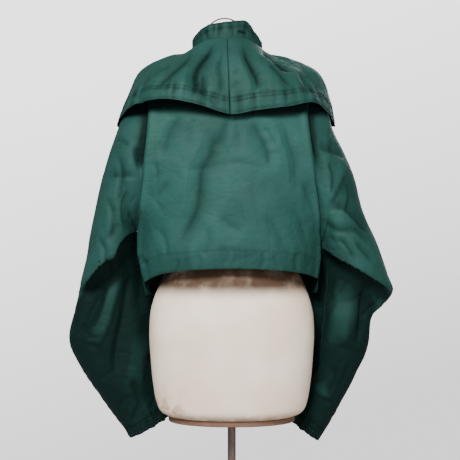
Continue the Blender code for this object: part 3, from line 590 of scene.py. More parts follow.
back = panel(SIDE_LEFT, SIDE_RIGHT, "back", BACK_MIDDLE, (0, 180), (34, 84), 168)
back, back_fold_and_seam_shade = creased(back, BACK_CREASES, BACK)
back, back_dents = crumpled(back, 0.6, 0.42, 1)
back_up = from_edge(back, 0)
back_rim = np.minimum(from_edge(back.transpose(1, 0, 2), 0),
                      from_edge(back.transpose(1, 0, 2), -1)).T
rolled = EDGE_ROLL * np.exp(-((back_rim - ROLL_AT) / ROLL_WIDTH) ** 2)
rolled *= smoothstep(back_rim / 0.005)
back = back + normals_of(back) * rolled[:, :, None]
back, back_drawn = seamed(back, back_up, HEM_STITCHES, HEM_SINK, HEM_PUCKER, 1)
# Painted shade down both edges of the back, at the armhole seams.
for column in (0, -1):
    back_fold_and_seam_shade[:, column] = SEAM_SHADE
back = trimmed(back, SPACE, SPACE, 0.0, 2 * SPACE)
# Painted shade of the back: in creases, light and shade on crumples and sunk hem seams, under
# the hood's edge, and in a band along the hem.
back_shade = back_fold_and_seam_shade * 0.8 - back_dents * 0.8 + back_drawn * 1.5 + painted_hood_shadow(back)
back_shade += HEM_SHADE * smoothstep(2 - back_up / HEM_SHADE_HEIGHT)
back_cloth = cloth("back_nylon", back, back_shade)
back_stitches = stitches("back_hem_stitches", seam_lines(back, back_up, HEM_STITCHES))
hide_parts("back_panel")

# ------------------------------------------------------------------ fronts
# Two fronts of the same nylon meet at the zip. They hang straighter than the back, down to a
# hem that is a little lower.
FRONT_CREASES = folds("""
7 26 18: -110,1235 -98,1150 -70,1060
6 18 14: -145,1100 -120,1020 -110,940
3.5 12 18: -60,1190 -50,1120 -58,1030
3 8 12: -45,985 -40,940 -50,890
3 7 10: -90,960 -84,925 -92,890
8 18 28: 115,1225 105,1160 72,1075
7 14 24: 150,1080 112,1010 85,925
5 14 12: 55,1230 46,1170 50,1110
3.5 12 16: 30,1060 40,1000 34,930
3 8 9: 60,955 55,920 62,885
3 8 10: 120,950 128,920 122,890
""")
ZIP_HALF, SEAM = 0.0028, 0.0004
FRONT_SPACE = 0.0008     # what a front keeps from its other seams
FLAT_COLUMNS = 5.0       # the grid's columns beside the zip that lie smooth
SIDE_SHADE = 0.009       # how much painted shade the fronts get towards the sleeves
FRONT_MIDDLE = table("""
y z bow
-122  876   5
-128  940 4.2
-131  992 3.6
-133 1050   3
-134 1112 2.6
-130 1170 2.4
-120 1225 2.2
-100 1268   2
""", plain=("bow",))
front_smooth = panel(SIDE_RIGHT, SIDE_LEFT, "front", FRONT_MIDDLE, (180, 360), (34, 84), 150)
front_middle = front_smooth.shape[1] // 2
front, front_crease_shade = creased(front_smooth, FRONT_CREASES, FRONT)
front, front_dents = crumpled(front, 0.6, 0.42, 2)
front_up = from_edge(front, 0)
front, front_drawn = seamed(front, front_up, HEM_STITCHES, HEM_SINK, HEM_PUCKER, 2)
# Painted shade of the fronts: in creases, light and shade on crumples and sunk hem seams, and
# towards the sleeves.
front_shade = front_crease_shade * 0.8 - front_dents * 0.8 + front_drawn * 1.5
front_shade += SIDE_SHADE * smoothstep((front[:, :, 1] + 0.045) / 0.03)
beside_zip = np.abs(np.arange(front.shape[1]) - front_middle) / FLAT_COLUMNS
kept = np.clip(1 - beside_zip, 0, 1)[None, :, None]
front = front * (1 - kept) + front_smooth * kept
for name, columns, trims in (
    ("right", slice(0, front_middle + 1), (FRONT_SPACE, ZIP_HALF + SEAM)),
    ("left", slice(front_middle, None), (ZIP_HALF + SEAM, FRONT_SPACE)),
):
    half = trimmed(front[:, columns], *trims, 0.0, FRONT_SPACE)
    half_up = front_up[:, columns]
    half_cloth = cloth("front_nylon_" + name, half, front_shade[:, columns])
    half_stitches = stitches("front_hem_stitches_" + name,
                             seam_lines(half, half_up, HEM_STITCHES))
    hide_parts("front_" + name)

# ------------------------------------------------------------------ sleeves and cuffs
# Full sleeves of the same nylon hang empty from the armholes. Each breaks over in a deep fold
# at the elbow and is drawn into a short elastic cuff. It is made as a stack of flattened rings,
# each from an inner point next to the body to an outer one, that bulge to back and front.
SLEEVE_LEFT = table("""
name in_x in_y in_z out_x out_y out_z back front
edge  125.5 -66    637 200.5 -50 598.5 -22  -92
seam    131 -68    661   211 -50   618 -19  -96
wrist   141 -74    685   237 -44   650  -8 -102
fore    147 -78    726   276 -34   708   8 -108
elbow   150 -76    796   316 -22   783  20 -108
lower   150 -66    864   307 -12   845  24 -100
under   165 -48    926   301 -10   875  26  -96
tuck  179.5 -20    968 297.5  -6   890  50  -93
rim     181   1    994   294  -4   902  82  -92
over  181.8  10   1003   290  -3   920  88  -93
bag   183.7  16   1009   282  -2   956  90  -94
mid   183.9  20 1012.5   267   0  1035  90  -96
arm   183.6  23   1014   250   0  1113  90  -98
cap   187.5  25   1014   219   0  1208  92  -96
top   185.5  27   1013   197   0  1262  93  -95
""")
SLEEVE_RIGHT = table("""
name in_x in_y in_z out_x out_y out_z back front
edge    -115 -66   633   -171 -54  592 -26  -92
seam    -125 -68   656   -185 -54  614 -22  -96
wrist   -139 -74   685   -208 -48  654 -14 -102
fore    -146 -78   730   -242 -38  720   2 -108
elbow   -149 -76   790   -268 -26  785  14 -108
lower   -147 -66   850   -272 -14  835  20  -98
under   -158 -48   908   -283 -12  856  22  -94
tuck  -169.5 -20   946   -303  -8  876  48  -92
rim   -171.8   1   970   -312  -5  893  80  -92
over  -172.6  10   980   -303  -3  920  88  -93
bag     -173  16   987   -285  -2  973  90  -94
mid   -173.2  20 990.5   -253   0 1052  90  -96
arm     -173  23 992.5   -233   0 1125  90  -96
cap   -177.5  25 992.5 -193.5   0 1210  91  -94
top   -175.5  27 991.5   -180   0 1262  91  -94
""")
SLIM, FULL = 1.35, 0.85  # shape of a section: slim next to the body and full outside


def half_ring(inner, outer, reach, count):
    """Half of a sleeve's section, from its inner point to its outer one past the reach in y."""
    angle = np.linspace(math.pi, 0, 160)[:, None]
    line = inner + (outer - inner) * (1 + np.cos(angle)) / 2
    uneven = np.sign(-np.cos(angle)) * np.cos(angle) ** 2
    fullness = (SLIM + FULL) / 2 + (SLIM - FULL) / 2 * uneven
    line[:, 1:2] += (reach - (inner[1] + outer[1]) / 2) * np.sin(angle) ** fullness
    return resample(line, count)


def ring(back_half, front_half, side):
    """A closed ring round both points, run so that the cloth's outside is out."""
    first, second = (front_half, back_half) if side == LEFT else (back_half, front_half)
    return np.concatenate([first, second[::-1][1:]])


def armhole(table_of_side, side, count):
    edges = []
    for prefix in ("back", "front"):
        edge = [point(row, prefix) for row in table_of_side[UNDERARM:]]
        edges.append(through(edge, count))
    return ring(edges[0], edges[1], side)


def sleeve_grid(sections, table_of_side, side, columns, rows):
    """All of a sleeve, from the cuff's edge up to the armhole."""
    half = columns // 2 + 1
    rings = []
    for row in sections:
        inner, outer = point(row, "in"), point(row, "out")
        rings.append(ring(half_ring(inner, outer, row["back"], half),
                          half_ring(inner, outer, row["front"], half), side))
    rings.append(armhole(table_of_side, side, half))
    return loft(rings, rows)


def gathered(grid, waves, depth, reach, seed):
    """The cloth in uneven waves round a sleeve's end, strongest at the cuff."""
    rows, columns = grid.shape[:2]
    turn = np.linspace(0, 2 * math.pi, columns)
    above = from_edge(grid, 0)
    sway = 0.9 * np.sin(turn * 2 + seed) + 0.5 * np.sin(turn * 3 - seed)
    wave = np.cos(waves * turn + sway) + 0.5 * np.cos((waves * 2 + 1) * turn - sway)
    swell = 1 + 0.35 * np.cos(turn * 2 + seed * 2)
    fade = np.exp(-(above / reach) ** 2)
    return grid + normals_of(grid) * (depth * wave * swell)[None, :, None] * fade[:, :, None]


SLEEVE_LEFT_CREASES = folds("""
6 9 14: 181,1169 174,1144 160,1122
3.5 4 14: 223,1180 213,1178 193,1167
4 5 22: 238,1108 210,1112 175,1108
-6.5 18 19: 210,983 230,900 246,836 283,760
-4.5 26 30: 177,843 185,764 196,681
8 14 12: 234,904 257,872 276,836 306,790
15 15 26: 191,957 198,896 206,840 219,787 225,736 227,700
12 20 18: 170,972 172,906 179,836
4 12 14: 264,779 247,749 242,711
5 12 12: 196,726 185,696 175,665
4 10 8: 160,779 168,734 164,692
3.6 6 8: 174,679 185,660 198,635
3.2 6 8: 151,683 157,662 162,631
3.2 7 9: 200,692 213,673 225,656
4.5 7 26: 215,1158 208,1114 213,1048
4.5 6 22: 238,1074 223,1035 227,978
4.5 6 20: 191,1093 204,1054 196,999
4.5 5 16: 255,999 238,972 234,938
3 9 13: 210,1025 227,1002 244,991
5 8 14: 227,935 234,909 255,885
4 10 16: 280,794 257,779 238,753
3 8 10: 291,821 268,806 251,802
""")
SLEEVE_RIGHT_CREASES = folds("""
5.5 6 24: -160,1165 -184,1158 -222,1146
5.5 8 28: -224,1129 -211,1101 -197,1074 -177,1048
6 5 24: -171,1040 -207,1050 -241,1021 -267,997
5 9 16: -167,1042 -193,1010 -237,1008 -258,978
4 6 20: -179,1143 -190,1112 -186,1071
3.5 5 16: -214,1108 -222,1078 -214,1037
4.5 6 12: -228,991 -247,970 -267,949
4.5 7 13: -197,997 -218,972 -228,948
2.6 7 10: -179,1025 -186,999 -201,980
15 14 12: -177,968 -173,896 -167,821 -161,760 -156,703
-6 30 34: -222,972 -214,855 -197,737
-3.5 18 18: -163,715 -179,690 -194,669
-5 18 18: -273,908 -279,877 -260,851
11 7 16: -256,919 -249,877 -247,821 -241,783
7 8 16: -163,821 -161,764 -167,715
4 9 14: -201,789 -226,777 -260,766
3.4 8 11: -161,694 -177,681 -196,667
5 12 18: -192,753 -199,718 -188,686
4 10 14: -226,760 -222,726 -207,696
4 10 14: -150,764 -156,718 -146,681
5 9 14: -271,885 -264,855 -247,836
4 7 9: -286,893 -277,872 -266,855
""")
SLEEVE_FRONT_CREASES = {
    LEFT: folds("""
13 34 3: 165,1015 200,985 240,948 292,885
4 16 12: 185,1150 205,1100 200,1050
8 22 16: 205,970 215,900 235,800
6 14 18: 185,900 190,820 200,730
6 12 16: 270,880 285,840 300,800
"""),
    RIGHT: folds("""
13 3 34: -150,992 -200,952 -255,918 -318,882
4 12 16: -165,1150 -190,1100 -190,1050
8 16 22: -180,960 -185,890 -190,790
6 14 12: -235,900 -240,840 -235,780
5 10 12: -270,890 -262,860 -250,830
"""),
}
SLEEVE_COLUMNS, SLEEVE_ROWS = 144, 210
SEAM_TRENCH, TRENCH_DEPTH = 0.009, 0.009   # the sleeve dips away beside the armhole
# Where the upper sleeve breaks over: its lip, and the lower side, which gets painted shade.
ELBOW_RIMS = {
    LEFT: folds("""
22 3 42: 160,1030 177,1012 197,996 209,980 218,957 239,943 253,933 278,905 300,880
8 3 22: 215,960 222,940 230,918 256,907 290,890
"""),
    RIGHT: folds("""
24 34 3: -145,995 -165,980 -195,956 -234,935 -265,915 -298,898 -325,885
"""),
}
SHADE_BELOW, BELOW_AT_BACK, BELOW_AT_FRONT = 0.0092, 0.015, 0.060   # painted shade under the rims, and how far down it grows at back and front
SLEEVE_SHADE, GAP_SHADE, GAP_REACH = 0.0024, 0.012, 0.020   # painted shade over the whole sleeve, and beside the armhole
SEAM_HOLD = 0.006        # how near a seam holds the cloth to its smooth line
GATHERS = ((9, 0.0024, 0.050, 1), (17, 0.0010, 0.030, 2))    # waves, depth, reach, seed
ROUGH_FROM, ROUGH_OVER = 0.20, 0.12      # the cloth is rougher this far down from the armhole
TRENCH_FROM, GAP_FROM, RISE = 1.09, 1.13, 0.06    # heights where these two begin
CUFF_HEIGHT_ROW = 1      # the row of the sleeve tables where cuff and sleeve meet
CUFF_STITCHES = (0.006, 0.012)


for name, side, sections, side_table, creases in (
    ("left", LEFT, SLEEVE_LEFT, SIDE_LEFT, SLEEVE_LEFT_CREASES),
    ("right", RIGHT, SLEEVE_RIGHT, SIDE_RIGHT, SLEEVE_RIGHT_CREASES),
):
    whole = sleeve_grid(sections, side_table, side, SLEEVE_COLUMNS, SLEEVE_ROWS)
    armhole_row = whole[-1].copy()
    whole, painted_darkness = creased(whole, ELBOW_RIMS[side] + creases, BACK, core=1.7)
    rim_x, rim_z = np.array(sorted(ELBOW_RIMS[side][0][0].tolist())).T
    under = np.interp(whole[:, :, 0], rim_x, rim_z) - whole[:, :, 2]
    faces = normals_of(whole)[:, :, 1]
    lower = smoothstep(under / np.where(faces > 0, BELOW_AT_BACK, BELOW_AT_FRONT))
    # Painted shade under the elbow's rim, strongest where the sleeve faces the back.
    painted_darkness = painted_darkness + SHADE_BELOW * lower * (0.40 + 0.60 * smoothstep(faces + 0.5))
    whole, sleeve_front_crease_shade = creased(whole, SLEEVE_FRONT_CREASES[side], FRONT)
    for waves, depth, reach, seed in GATHERS:
        whole = gathered(whole, waves, depth, reach, side * seed)
    down = from_edge(whole, -1)
    rough = 1.0 + 0.5 * smoothstep((down.mean(axis=1) - ROUGH_FROM) / ROUGH_OVER)
    whole_rough, dents = crumpled(whole, 0.9, 0.70, 3 + side)
    whole = whole + (whole_rough - whole) * rough[:, None, None]
    seam_up = from_edge(whole, -1)
    whole, drawn = seamed(whole, seam_up, (0.004,), 0.0008, 0.0009, 5 + side)
    beside = seam_up / SEAM_TRENCH
    trench = TRENCH_DEPTH * beside * np.exp(1 - beside)
    trench *= smoothstep(normals_of(whole)[:, :, 1] * 2.0)
    trench *= smoothstep((whole[:, :, 2] - TRENCH_FROM) / RISE)
    whole = whole - normals_of(whole) * trench[:, :, None]
    near_seam = np.exp(-seam_up / SEAM_HOLD)[:, :, None]
    whole = whole + (armhole_row[None] - whole[-1:]) * near_seam
    middle_of_seam = (point(sections[CUFF_HEIGHT_ROW], "in")
                      + point(sections[CUFF_HEIGHT_ROW], "out")) / 2
    cut = int(np.linalg.norm(whole.mean(axis=1) - middle_of_seam, axis=1).argmin())
    gap = np.exp(-(seam_up / GAP_REACH) ** 2) * smoothstep((whole[:, :, 2] - GAP_FROM) / RISE)
    # Painted shade of the sleeve: in creases and under the rim, light and shade on crumples, in
    # the sunk seam and the trench, over it all, under the hood's edge and beside the armhole.
    shade = painted_darkness + sleeve_front_crease_shade - dents * rough[:, None] + drawn + trench * 0.5 + SLEEVE_SHADE
    shade += painted_hood_shadow(whole) + GAP_SHADE * gap * (normals_of(whole)[:, :, 1] > 0)
    arm = trimmed(whole[cut:], bottom=SPACE, top=2 * SPACE)
    cuff = trimmed(whole[:cut + 1], top=SPACE)
    sleeve_cloth = cloth("sleeve_nylon_" + name, arm, shade[cut:], closed=True)
    # The cuff gets a little more painted shade than the sleeve.
    cuff_cloth = cloth("cuff_nylon_" + name, cuff, shade[:cut + 1] + 0.001, closed=True)
    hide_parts("sleeve_" + name)
    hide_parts("cuff_" + name)
    cuff_up = from_edge(cuff, 0)
    cuff_stitches = stitches("cuff_stitches_" + name, seam_lines(cuff, cuff_up, CUFF_STITCHES))

# ------------------------------------------------------------------ collar
# A low stand collar of doubled nylon round the neck, sewn to the body and the hood. Three rows
# of stitching run below its top edge, which is soft and uneven.
COLLAR_HALF_WIDTH, COLLAR_BACK, COLLAR_FRONT = 0.068, 0.052, 0.080
COLLAR_TOP_Z, COLLAR_TOP_RISE, COLLAR_TOP_SAG = 1.377, 0.0275, 0.0045
COLLAR_STITCHES = (0.0030, 0.0100, 0.0135)
# Painted shade over the whole collar.
COLLAR_SHADE = 0.0058
COLLAR_CREASES = folds("""
2.5 6 8: 52,1395 49,1383 46,1371
1.8 5 7: 25,1399 28,1385 26,1372
1.5 4 6: -2,1400 -4,1386 -1,1374
2.2 5 6: -22,1402 -26,1388 -24,1374
2.6 6 7: -40,1398 -43,1384 -50,1372
7 3.5 3.5: -10,1388 -20,1386.5 -31,1383.5
""")


COLLAR_BACK_EDGE = [(-0.0600, 1.372), (-0.0560, 1.3765), (-0.0300, 1.4085), (-0.0230, 1.4100),
                    (0.0440, 1.4020), (0.0590, 1.3950), (0.0735, 1.3820), (0.0770, 1.3790)]


def collar_top_point(turn):
    """A point of the collar's top edge, which stands highest at the back's right."""
    a = math.radians(turn)
    t = math.sin(a)
    reach = COLLAR_BACK if t > 0 else COLLAR_FRONT
    x = NECK_X + COLLAR_HALF_WIDTH * math.cos(a)
    at_front = COLLAR_TOP_Z + COLLAR_TOP_RISE * t - COLLAR_TOP_SAG * t * t
    at_back = np.interp(x, *zip(*COLLAR_BACK_EDGE))
    z = at_back + (at_front - at_back) * smoothstep(0.5 - 3.0 * t)
    return np.array([x, reach * t, z])


def collar_point(turn, up):
    low, high = neck_point(turn), collar_top_point(turn)
    return low + (high - low) * up


front_gap = math.degrees(math.asin((ZIP_HALF + SEAM) / NECK_HALF_WIDTH))
collar_turns = np.linspace(-90 + front_gap, 270 - front_gap, 221)
collar = np.array([[collar_point(turn, up) for turn in collar_turns]
                   for up in np.linspace(0, 1, 30)])
collar, collar_crease_shade = creased(collar, COLLAR_CREASES, BACK)
collar, collar_dents = crumpled(collar, 0.5, 0.45, 9)
collar_down = from_edge(collar, -1)
collar, collar_drawn = seamed(collar, collar_down, COLLAR_STITCHES, 0.0006, 0.0006, 9)
collar = trimmed(collar, bottom=0.0010)
# Painted shade of the collar: in creases, light and shade on crumples, along sunk stitching, and
# over it all.
collar_shade = collar_crease_shade - collar_dents + collar_drawn * 3 + COLLAR_SHADE
collar_cloth = cloth("collar_nylon", collar, collar_shade, wall=0.0016)
collar_stitches = stitches("collar_stitches", seam_lines(collar, collar_down, COLLAR_STITCHES))
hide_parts("collar_stand")

# ------------------------------------------------------------------ hood
# Two halves of the same nylon, sewn at the centre and to the collar. The hood is thrown back
# and spread over the shoulders like a cape, so that its face opening is the lower edge. Each rib
# is a section from there up to the neck seam, at a turn round the neck in degrees.
HOOD_RIBS = table("""
turn high_x high_y high_z mid_x mid_y mid_z low_x low_y low_z hem_x hem_y hem_z
-83   20 -90   1307   25 -101   1300     30 -111 1291   34 -120   1278
-66   45 -86   1318   78 -110   1301    108 -125 1278  130 -134   1252
-38   85 -50   1332  130  -64   1312    172  -76 1270  200  -80   1223
 -5  120   0   1347  178    0   1317    205   -2 1260  224   -5   1213
 12  108  28   1341  150   60   1315    178   84 1275  188   94   1240
 32   82  62   1343  110   98   1315    126  125 1282  130  138 1249.5
 60   38  80   1353   54  110   1320     64  133 1278   68  141 1240.7
 90    8  83   1354    7  112   1318      5  129 1268    3  132 1222.5
120  -21  82   1354  -34  112   1318    -41  130 1273  -43  133   1229
148  -60  64   1343  -84   98   1315    -97  122 1278 -103  131 1236.6
168  -90  28   1341 -130   58   1313   -153   81 1275 -160   94   1246
185 -110   0 1342.5 -169    0 1314.5 -192.5   -2 1262 -202   -4 1213.7
218  -68 -50   1331 -112  -64   1311   -156  -75 1268 -183  -78   1225
246  -28 -86   1317  -60 -110   1299    -90 -124 1277 -113 -132   1252
263   -3 -90   1307   -8 -101   1300    -13 -111 1291  -17 -120   1278
""", plain=("turn",))
HOOD_CENTRE = 7          # the rib along the centre-back seam
HOOD_SEAM_UP = 0.26      # how far up the collar the hood is sewn on
HOOD_STAND = 0.0022      # its edge's distance from the middle of the collar's wall
HOOD_CASING = (0.0035, 0.0240, 0.0300)   # rows of stitching, from the lower edge
HOOD_PAINTED_SHADE = 0.0028       # painted shade over the whole hood
CENTRE_HOLD, CENTRE_SINK, CENTRE_WIDTH, CENTRE_GAP = 0.007, 0.0012, 0.003, 0.0004
HOOD_CREASES = folds("""
12 17 30: 32,1359 51,1339 62,1322 69,1300 66,1274 71,1250
7 16 30: 69,1346 97,1317 124,1289 152,1260
6 9 18: 56,1304 51,1271 32,1234
3.6 12 18: 150,1307 166,1278 179,1243
3 9 14: 111,1322 135,1307 155,1294
5 8 16: 16,1350 23,1315 18,1282 23,1247
10 12 30: -17,1359 -29,1327 -44,1290 -46,1258
2.4 5 7: -15,1311 -2,1296
2.2 5 7: -13,1285 -2,1271
12 9 26: -52,1355 -74,1337 -90,1324 -114,1302
6 10 22: -67,1322 -90,1300 -109,1271
5 9 20: -124,1311 -138,1285 -144,1254
3 8 12: -158,1289 -162,1267 -171,1247
2.4 6 8: -46,1252 -57,1265 -74,1263
2.2 7 9: 95,1274 108,1263 117,1250
2.2 6 8: 42,1258 31,1247 25,1232
2.2 6 8: -94,1271 -101,1254 -98,1239
2.2 6 9: 187,1263 172,1252 163,1236
""")


def hood_neck(turn):
    """Where the hood meets the collar: on its outer face, with the seam's space."""
    on_collar = collar_point(turn, HOOD_SEAM_UP)
    a = math.radians(turn)
    out = np.array([math.cos(a), math.sin(a), 0.0])
    return on_collar + out * HOOD_STAND


hood_ribs = []
for rib in HOOD_RIBS:
    marks = [point(rib, mark) for mark in ("hem", "low", "mid", "high")]
    hood_ribs.append(through(marks + [hood_neck(rib["turn"])], 96))
hood_ribs = np.array(hood_ribs)
rib_turns = [[rib["turn"]] for rib in HOOD_RIBS]
for name, first, last in (("left", 0, HOOD_CENTRE), ("right", HOOD_CENTRE, len(HOOD_RIBS) - 1)):
    where = first + places(hood_ribs[first:last + 1], 171)
    half = spline(hood_ribs, where).transpose(1, 0, 2)
    half[-1] = [hood_neck(turn) for turn in spline(rib_turns, where)[:, 0]]
    neck_row = half[-1].copy()
    seam_column = -1 if name == "left" else 0
    seam = half[:, seam_column].copy()
    half, painted_darkness = creased(half, HOOD_CREASES, BACK)
    half, dents = crumpled(half, 0.8, 0.55, 11 + last)
    up = from_edge(half, 0)
    half, drawn = seamed(half, up, HOOD_CASING, 0.0009, 0.0012, 12 + last)
    neck_up = np.exp(-from_edge(half, -1) / SEAM_HOLD)[:, :, None]
    half = half + (neck_row[None] - half[-1:]) * neck_up
    aside = np.linalg.norm(half - half[:, seam_column:][:, :1], axis=2)
    held = np.exp(-aside / CENTRE_HOLD)[:, :, None]
    half = half + (seam[:, None] - half[:, seam_column][:, None]) * held
    sunk = CENTRE_SINK * np.exp(-(aside / CENTRE_WIDTH) ** 2)
    half -= normals_of(half) * sunk[:, :, None]
    half = trimmed(half, left=CENTRE_GAP * (name == "right") + 1e-6,
                   right=CENTRE_GAP * (name == "left") + 1e-6)
    # Painted shade of the hood: in creases, light and shade on crumples, along the sunk casing
    # stitches, and over it all.
    shade = painted_darkness * 1.1 - dents * 0.8 + drawn * 4 + HOOD_PAINTED_SHADE
    hood_cloth = cloth("hood_nylon_" + name, half, shade)
    lines = seam_lines(half, up, HOOD_CASING)
    seam_side = half.transpose(1, 0, 2)
    normal_side = normals_of(half).transpose(1, 0, 2)
    pick = int(np.abs(aside[40] - 0.004).argmin())
    lines.append((seam_side[pick, 2:92], normal_side[pick, 2:92]))
    hood_stitches = stitches("hood_stitches_" + name, lines)
    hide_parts("hood_" + name)

# ------------------------------------------------------------------ zip and press studs
# Two narrow tapes carry the zip's teeth, which lock between each other all the way up to the
# collar's top. The teeth, slider, pull tab and studs are aged brass.
def plain_finish(name, colour, roughness, metallic, nodes):
    """A finish with a faint mottle, put on solids that are shown as they are."""
    made, tree, shader = new_finish(name)
    spot = wired(tree, "TexCoord", "Object")
    mottle = wired(tree, "TexNoise", "Fac", {"Vector": spot, "Scale": 60.0})
    tones = toned(tree, mottle, (0.0, *(part * 0.75 for part in colour)),
                  (1.0, *(part * 1.2 for part in colour)))
    tree.links.new(tones, shader.inputs["Base Color"])
    shader.inputs["Roughness"].default_value = roughness
    shader.inputs["Metallic"].default_value = metallic
    for solid in nodes:
        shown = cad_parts[solid].data.materials
        shown.clear()
        shown.append(made)
    return made


dull_metal = plain_finish("aged_brass", (0.30, 0.27, 0.22), 0.38, 1.0,
                          ("zip_slider", "zip_pull", "snap_left", "snap_right"))
TOOTH, TOOTH_ASIDE, TOOTH_COUNT = (0.0026, 0.0022, 0.0010), 0.0009, 360
collar_front = [collar_point(270, up) for up in (0.4, 0.7, 1.0)]
zip_line = resample(np.concatenate([front_smooth[:, front_middle], collar_front]), TOOTH_COUNT)
zip_run = np.gradient(zip_line, axis=0)
teeth = bmesh.new()
for index, (spot, run) in enumerate(zip(zip_line, zip_run)):
    side = 1 if index % 2 else -1
    tooth = bmesh.ops.create_cube(teeth, size=1.0)["verts"]
    bmesh.ops.scale(teeth, vec=TOOTH, verts=tooth)
    bmesh.ops.rotate(teeth, cent=(0, 0, 0), verts=tooth,
                     matrix=Matrix.Rotation(math.atan2(-run[1], run[2]), 3, "X"))
    bmesh.ops.translate(teeth, vec=spot + np.array([side * TOOTH_ASIDE, 0, 0]), verts=tooth)
zip_teeth = piece("zip_teeth", mesh_of("zip_teeth", teeth), dull_metal)
zip_teeth.data.shade_flat()
across = np.array([ZIP_HALF, 0.0, 0.0])
tape = np.stack([zip_line - across, zip_line, zip_line + across], axis=1)
cloth("zip_tape", tape, np.full(tape.shape[:2], 0.002))
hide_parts("zip_chain")

# ------------------------------------------------------------------ dress form
# The form is padded and covered in linen, sewn in panels with seams down its middle and
# sides that are not drawn. It has a brown painted shadow just below the jacket's hem, and age
# has left stains low on its left.
FORM_SECTIONS = table("""
z left right back front square
 651   122   122  84  90  2.1
 660   138   138  98 104  2.2
 680   147   147 105 111  2.2
 720 153.5 153.5 111 116 2.25
 765 157.5 157.5 115 118  2.3
 811   160   160 117 117  2.3
 860   156   156 112 111  2.2
 910   139   139  97  99  2.1
 960   118   118  80  87  2.1
1000   108   108  74  83  2.1
1050   115   115  78  90  2.1
1110   129   129  88 107  2.1
1165   138   136  94 115  2.1
1215   140   137  93 104  2.1
1255   143   137  84  84  2.1
1285   148   140  62  58  1.9
1303   148   140  40  38  1.6
""", plain=("square",))


def linen_finish():
    """Pale linen, plain weave, with a brown painted shadow below the jacket's hem, and stained
    low on one side.
    """
    made, tree, shader = new_finish("linen_cover")
    spot = wired(tree, "TexCoord", "Object")

    def cloudy(scale, detail):
        return wired(tree, "TexNoise", "Fac", {"Vector": spot, "Scale": scale, "Detail": detail})

    def ranged(value, low, high):
        return wired(tree, "MapRange", "Result",
                     {"Value": value, "From Min": low, "From Max": high},
                     interpolation_type="SMOOTHSTEP")

    def along(axis, low, high):
        return ranged(wired(tree, "SeparateXYZ", axis, {"Vector": spot}), low, high)

    def times(one, other):
        return wired(tree, "Math", "Value", {0: one, 1: other}, operation="MULTIPLY")

    # Painted shadow: dark brown just below the jacket's hem.
    painted_hem_shadow = times(along("Z", 0.876, 0.908), ranged(cloudy(26.0, 3.0), -0.4, 0.6))
    low_left = times(along("X", 0.05, 0.14), along("Z", 0.73, 0.66))
    stain = times(low_left, ranged(cloudy(38.0, 4.0), 0.48, 0.66))
    rim = times(along("Z", 0.672, 0.652), ranged(cloudy(50.0, 3.0), 0.0, 0.6))
    colour = mixed(tree, ranged(cloudy(9.0, 6.0), 0.35, 0.62), (0.90, 0.71, 0.54, 1.0),
                   (0.97, 0.82, 0.67))
    colour = mixed(tree, painted_hem_shadow, colour, (0.075, 0.043, 0.026))
    colour = mixed(tree, stain, colour, (0.42, 0.25, 0.14))
    colour = mixed(tree, rim, colour, (0.45, 0.30, 0.20))
    tree.links.new(colour, shader.inputs["Base Color"])
    weave = wired(tree, "Bump", "Normal",
                  {"Height": cloudy(900.0, 2.0), "Strength": 0.25, "Distance": 0.0006})
    tree.links.new(weave, shader.inputs["Normal"])
    shader.inputs["Roughness"].default_value = 0.92
    shader.inputs["Specular IOR Level"].default_value = 0.15
    return made


linen = linen_finish()


def oval(left, right, back_reach, front_reach, square, z, columns=96):
    """A ring from the wearer's left round the back, closed by its first point."""
    turn = np.linspace(0, 2 * math.pi, columns + 1)
    c, s = np.cos(turn), np.sin(turn)
    x = np.sign(c) * np.abs(c) ** (2 / square)
    y = np.sign(s) * np.abs(s) ** (2 / square)
    x = np.where(x > 0, x * left, x * right)
    y = np.where(y > 0, y * back_reach, y * front_reach)
    return np.stack([x, y, np.full_like(x, z)], axis=1)


SHOULDERS = table("""
reach back front
135 36 34
110 42 40
 90 46 45
 74 49 48
""")
NECK_SECTIONS = table("""
z half depth
1347.5 61 50
  1356 56 48
  1370 55 47
""")
SHOULDER_SQUARE, SHOULDER_REST = 0.85, 0.0013


def shoulder_fall(edge_rows):
    """How steeply a shoulder seam falls from the neck seam to the armhole."""
    end = point(edge_rows[-1], "back")
    return (NECK_SEAM_Z - end[2]) / (abs(end[0] - NECK_X) - NECK_HALF_WIDTH)


stack = [oval(row["left"], row["right"], row["back"], row["front"], row["square"], row["z"])
         for row in FORM_SECTIONS]
cover_rows = list(loft(stack, 90))
for row in SHOULDERS:
    fall = shoulder_fall(SIDE_LEFT) * (row["reach"] - NECK_X - NECK_HALF_WIDTH)
    right = fall / shoulder_fall(SIDE_RIGHT) + NECK_HALF_WIDTH - NECK_X
    cover_rows.append(oval(row["reach"], right, row["back"], row["front"], SHOULDER_SQUARE,
                           NECK_SEAM_Z - SHOULDER_REST - fall))
for row in NECK_SECTIONS:
    cover_rows.append(oval(row["half"] + NECK_X, row["half"] - NECK_X, row["depth"],
                           row["depth"], 2.0, row["z"]))
cover = np.array(cover_rows)
linen_cover = piece("form_linen", mesh_of("form_linen", surface(cover, closed=True)), linen)
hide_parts("form_torso")

# ------------------------------------------------------------------ wood and bronze
# A turned wooden plate closes the form below and a wooden cap closes its neck. The bail is
# rusty wire, and the pole and the base are browned bronze.
plain_finish("turned_wood", (0.17, 0.085, 0.050), 0.5, 0.0, ("form_base_plate", "form_neck_cap"))
plain_finish("browned_bronze", (0.165, 0.115, 0.092), 0.36, 0.6, ("stand_pole", "stand_base"))
plain_finish("bail_wire", (0.15, 0.060, 0.030), 0.45, 0.2, ("form_bail",))

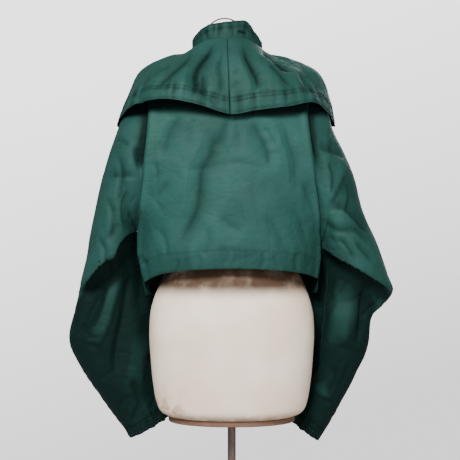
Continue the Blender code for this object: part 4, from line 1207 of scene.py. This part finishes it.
# ------------------------------------------------------------------ room and camera
# A pale studio: a floor under the stand, a softly lit wall that the world's colour stands for,
# a large soft light from above the viewer's left and the room's own light.
floor_disc = bmesh.new()
bmesh.ops.create_circle(floor_disc, cap_ends=True, radius=2.6, segments=96)
floor = placed("floor", mesh_of("floor", floor_disc))
floor.data.materials.append(plain_colour("floor_paint", (0.62, 0.62, 0.63), 0.7))

world = bpy.data.worlds.new("studio")
bpy.context.scene.world = world
world.use_nodes = True
sky = world.node_tree
room_light = sky.nodes["Background"]
room_light.inputs["Color"].default_value = (0.93, 0.95, 1.0, 1.0)
room_light.inputs["Strength"].default_value = 0.30
way = wired(sky, "TexCoord", "Generated")
sideways, upwards = (wired(sky, "SeparateXYZ", axis, {"Vector": way}) for axis in "XZ")
lean = wired(sky, "Math", "Value", {0: sideways, 1: 0.6, 2: 0.5}, operation="MULTIPLY_ADD")
rise = wired(sky, "Math", "Value", {0: upwards, 1: 1.8, 2: lean}, operation="MULTIPLY_ADD")
wall_tones = toned(sky, rise, (0.15, 0.46, 0.45, 0.47), (0.85, 0.88, 0.89, 0.90))
wall = wired(sky, "Background", "Background", {"Color": wall_tones, "Strength": 3.0})
seen_directly = wired(sky, "LightPath", "Is Camera Ray")
shown = wired(sky, "MixShader", "Shader", {0: seen_directly, 1: room_light.outputs[0], 2: wall})
sky.links.new(shown, sky.nodes["World Output"].inputs[0])


def softbox(name, at, aim, size, power):
    lamp = bpy.data.lights.new(name, "AREA")
    lamp.shape = "DISK"
    lamp.size = size
    lamp.energy = power
    made = placed(name, lamp)
    made.location = at
    made.rotation_mode = "QUATERNION"
    made.rotation_quaternion = (Vector(aim) - Vector(at)).to_track_quat("-Z", "Y")


softbox("key_light", (0.55, 2.45, 2.60), (0.0, 0.05, 1.05), 0.9, 152.0)
softbox("fill_light", (-1.6, 3.2, 1.3), (0.0, 0.0, 0.95), 1.6, 30.0)
softbox("front_light", (-0.8, -2.6, 2.2), (0.0, 0.0, 1.05), 1.6, 60.0)

CAMERA = (0.0033, 2.2, 1.010)
lens = bpy.data.cameras.new("camera")
lens.lens = 88.47
lens.sensor_width = 36.0
camera = placed("camera", lens)
camera.location = CAMERA
camera.rotation_euler = (math.radians(90), 0.0, math.radians(180))
bpy.context.scene.camera = camera
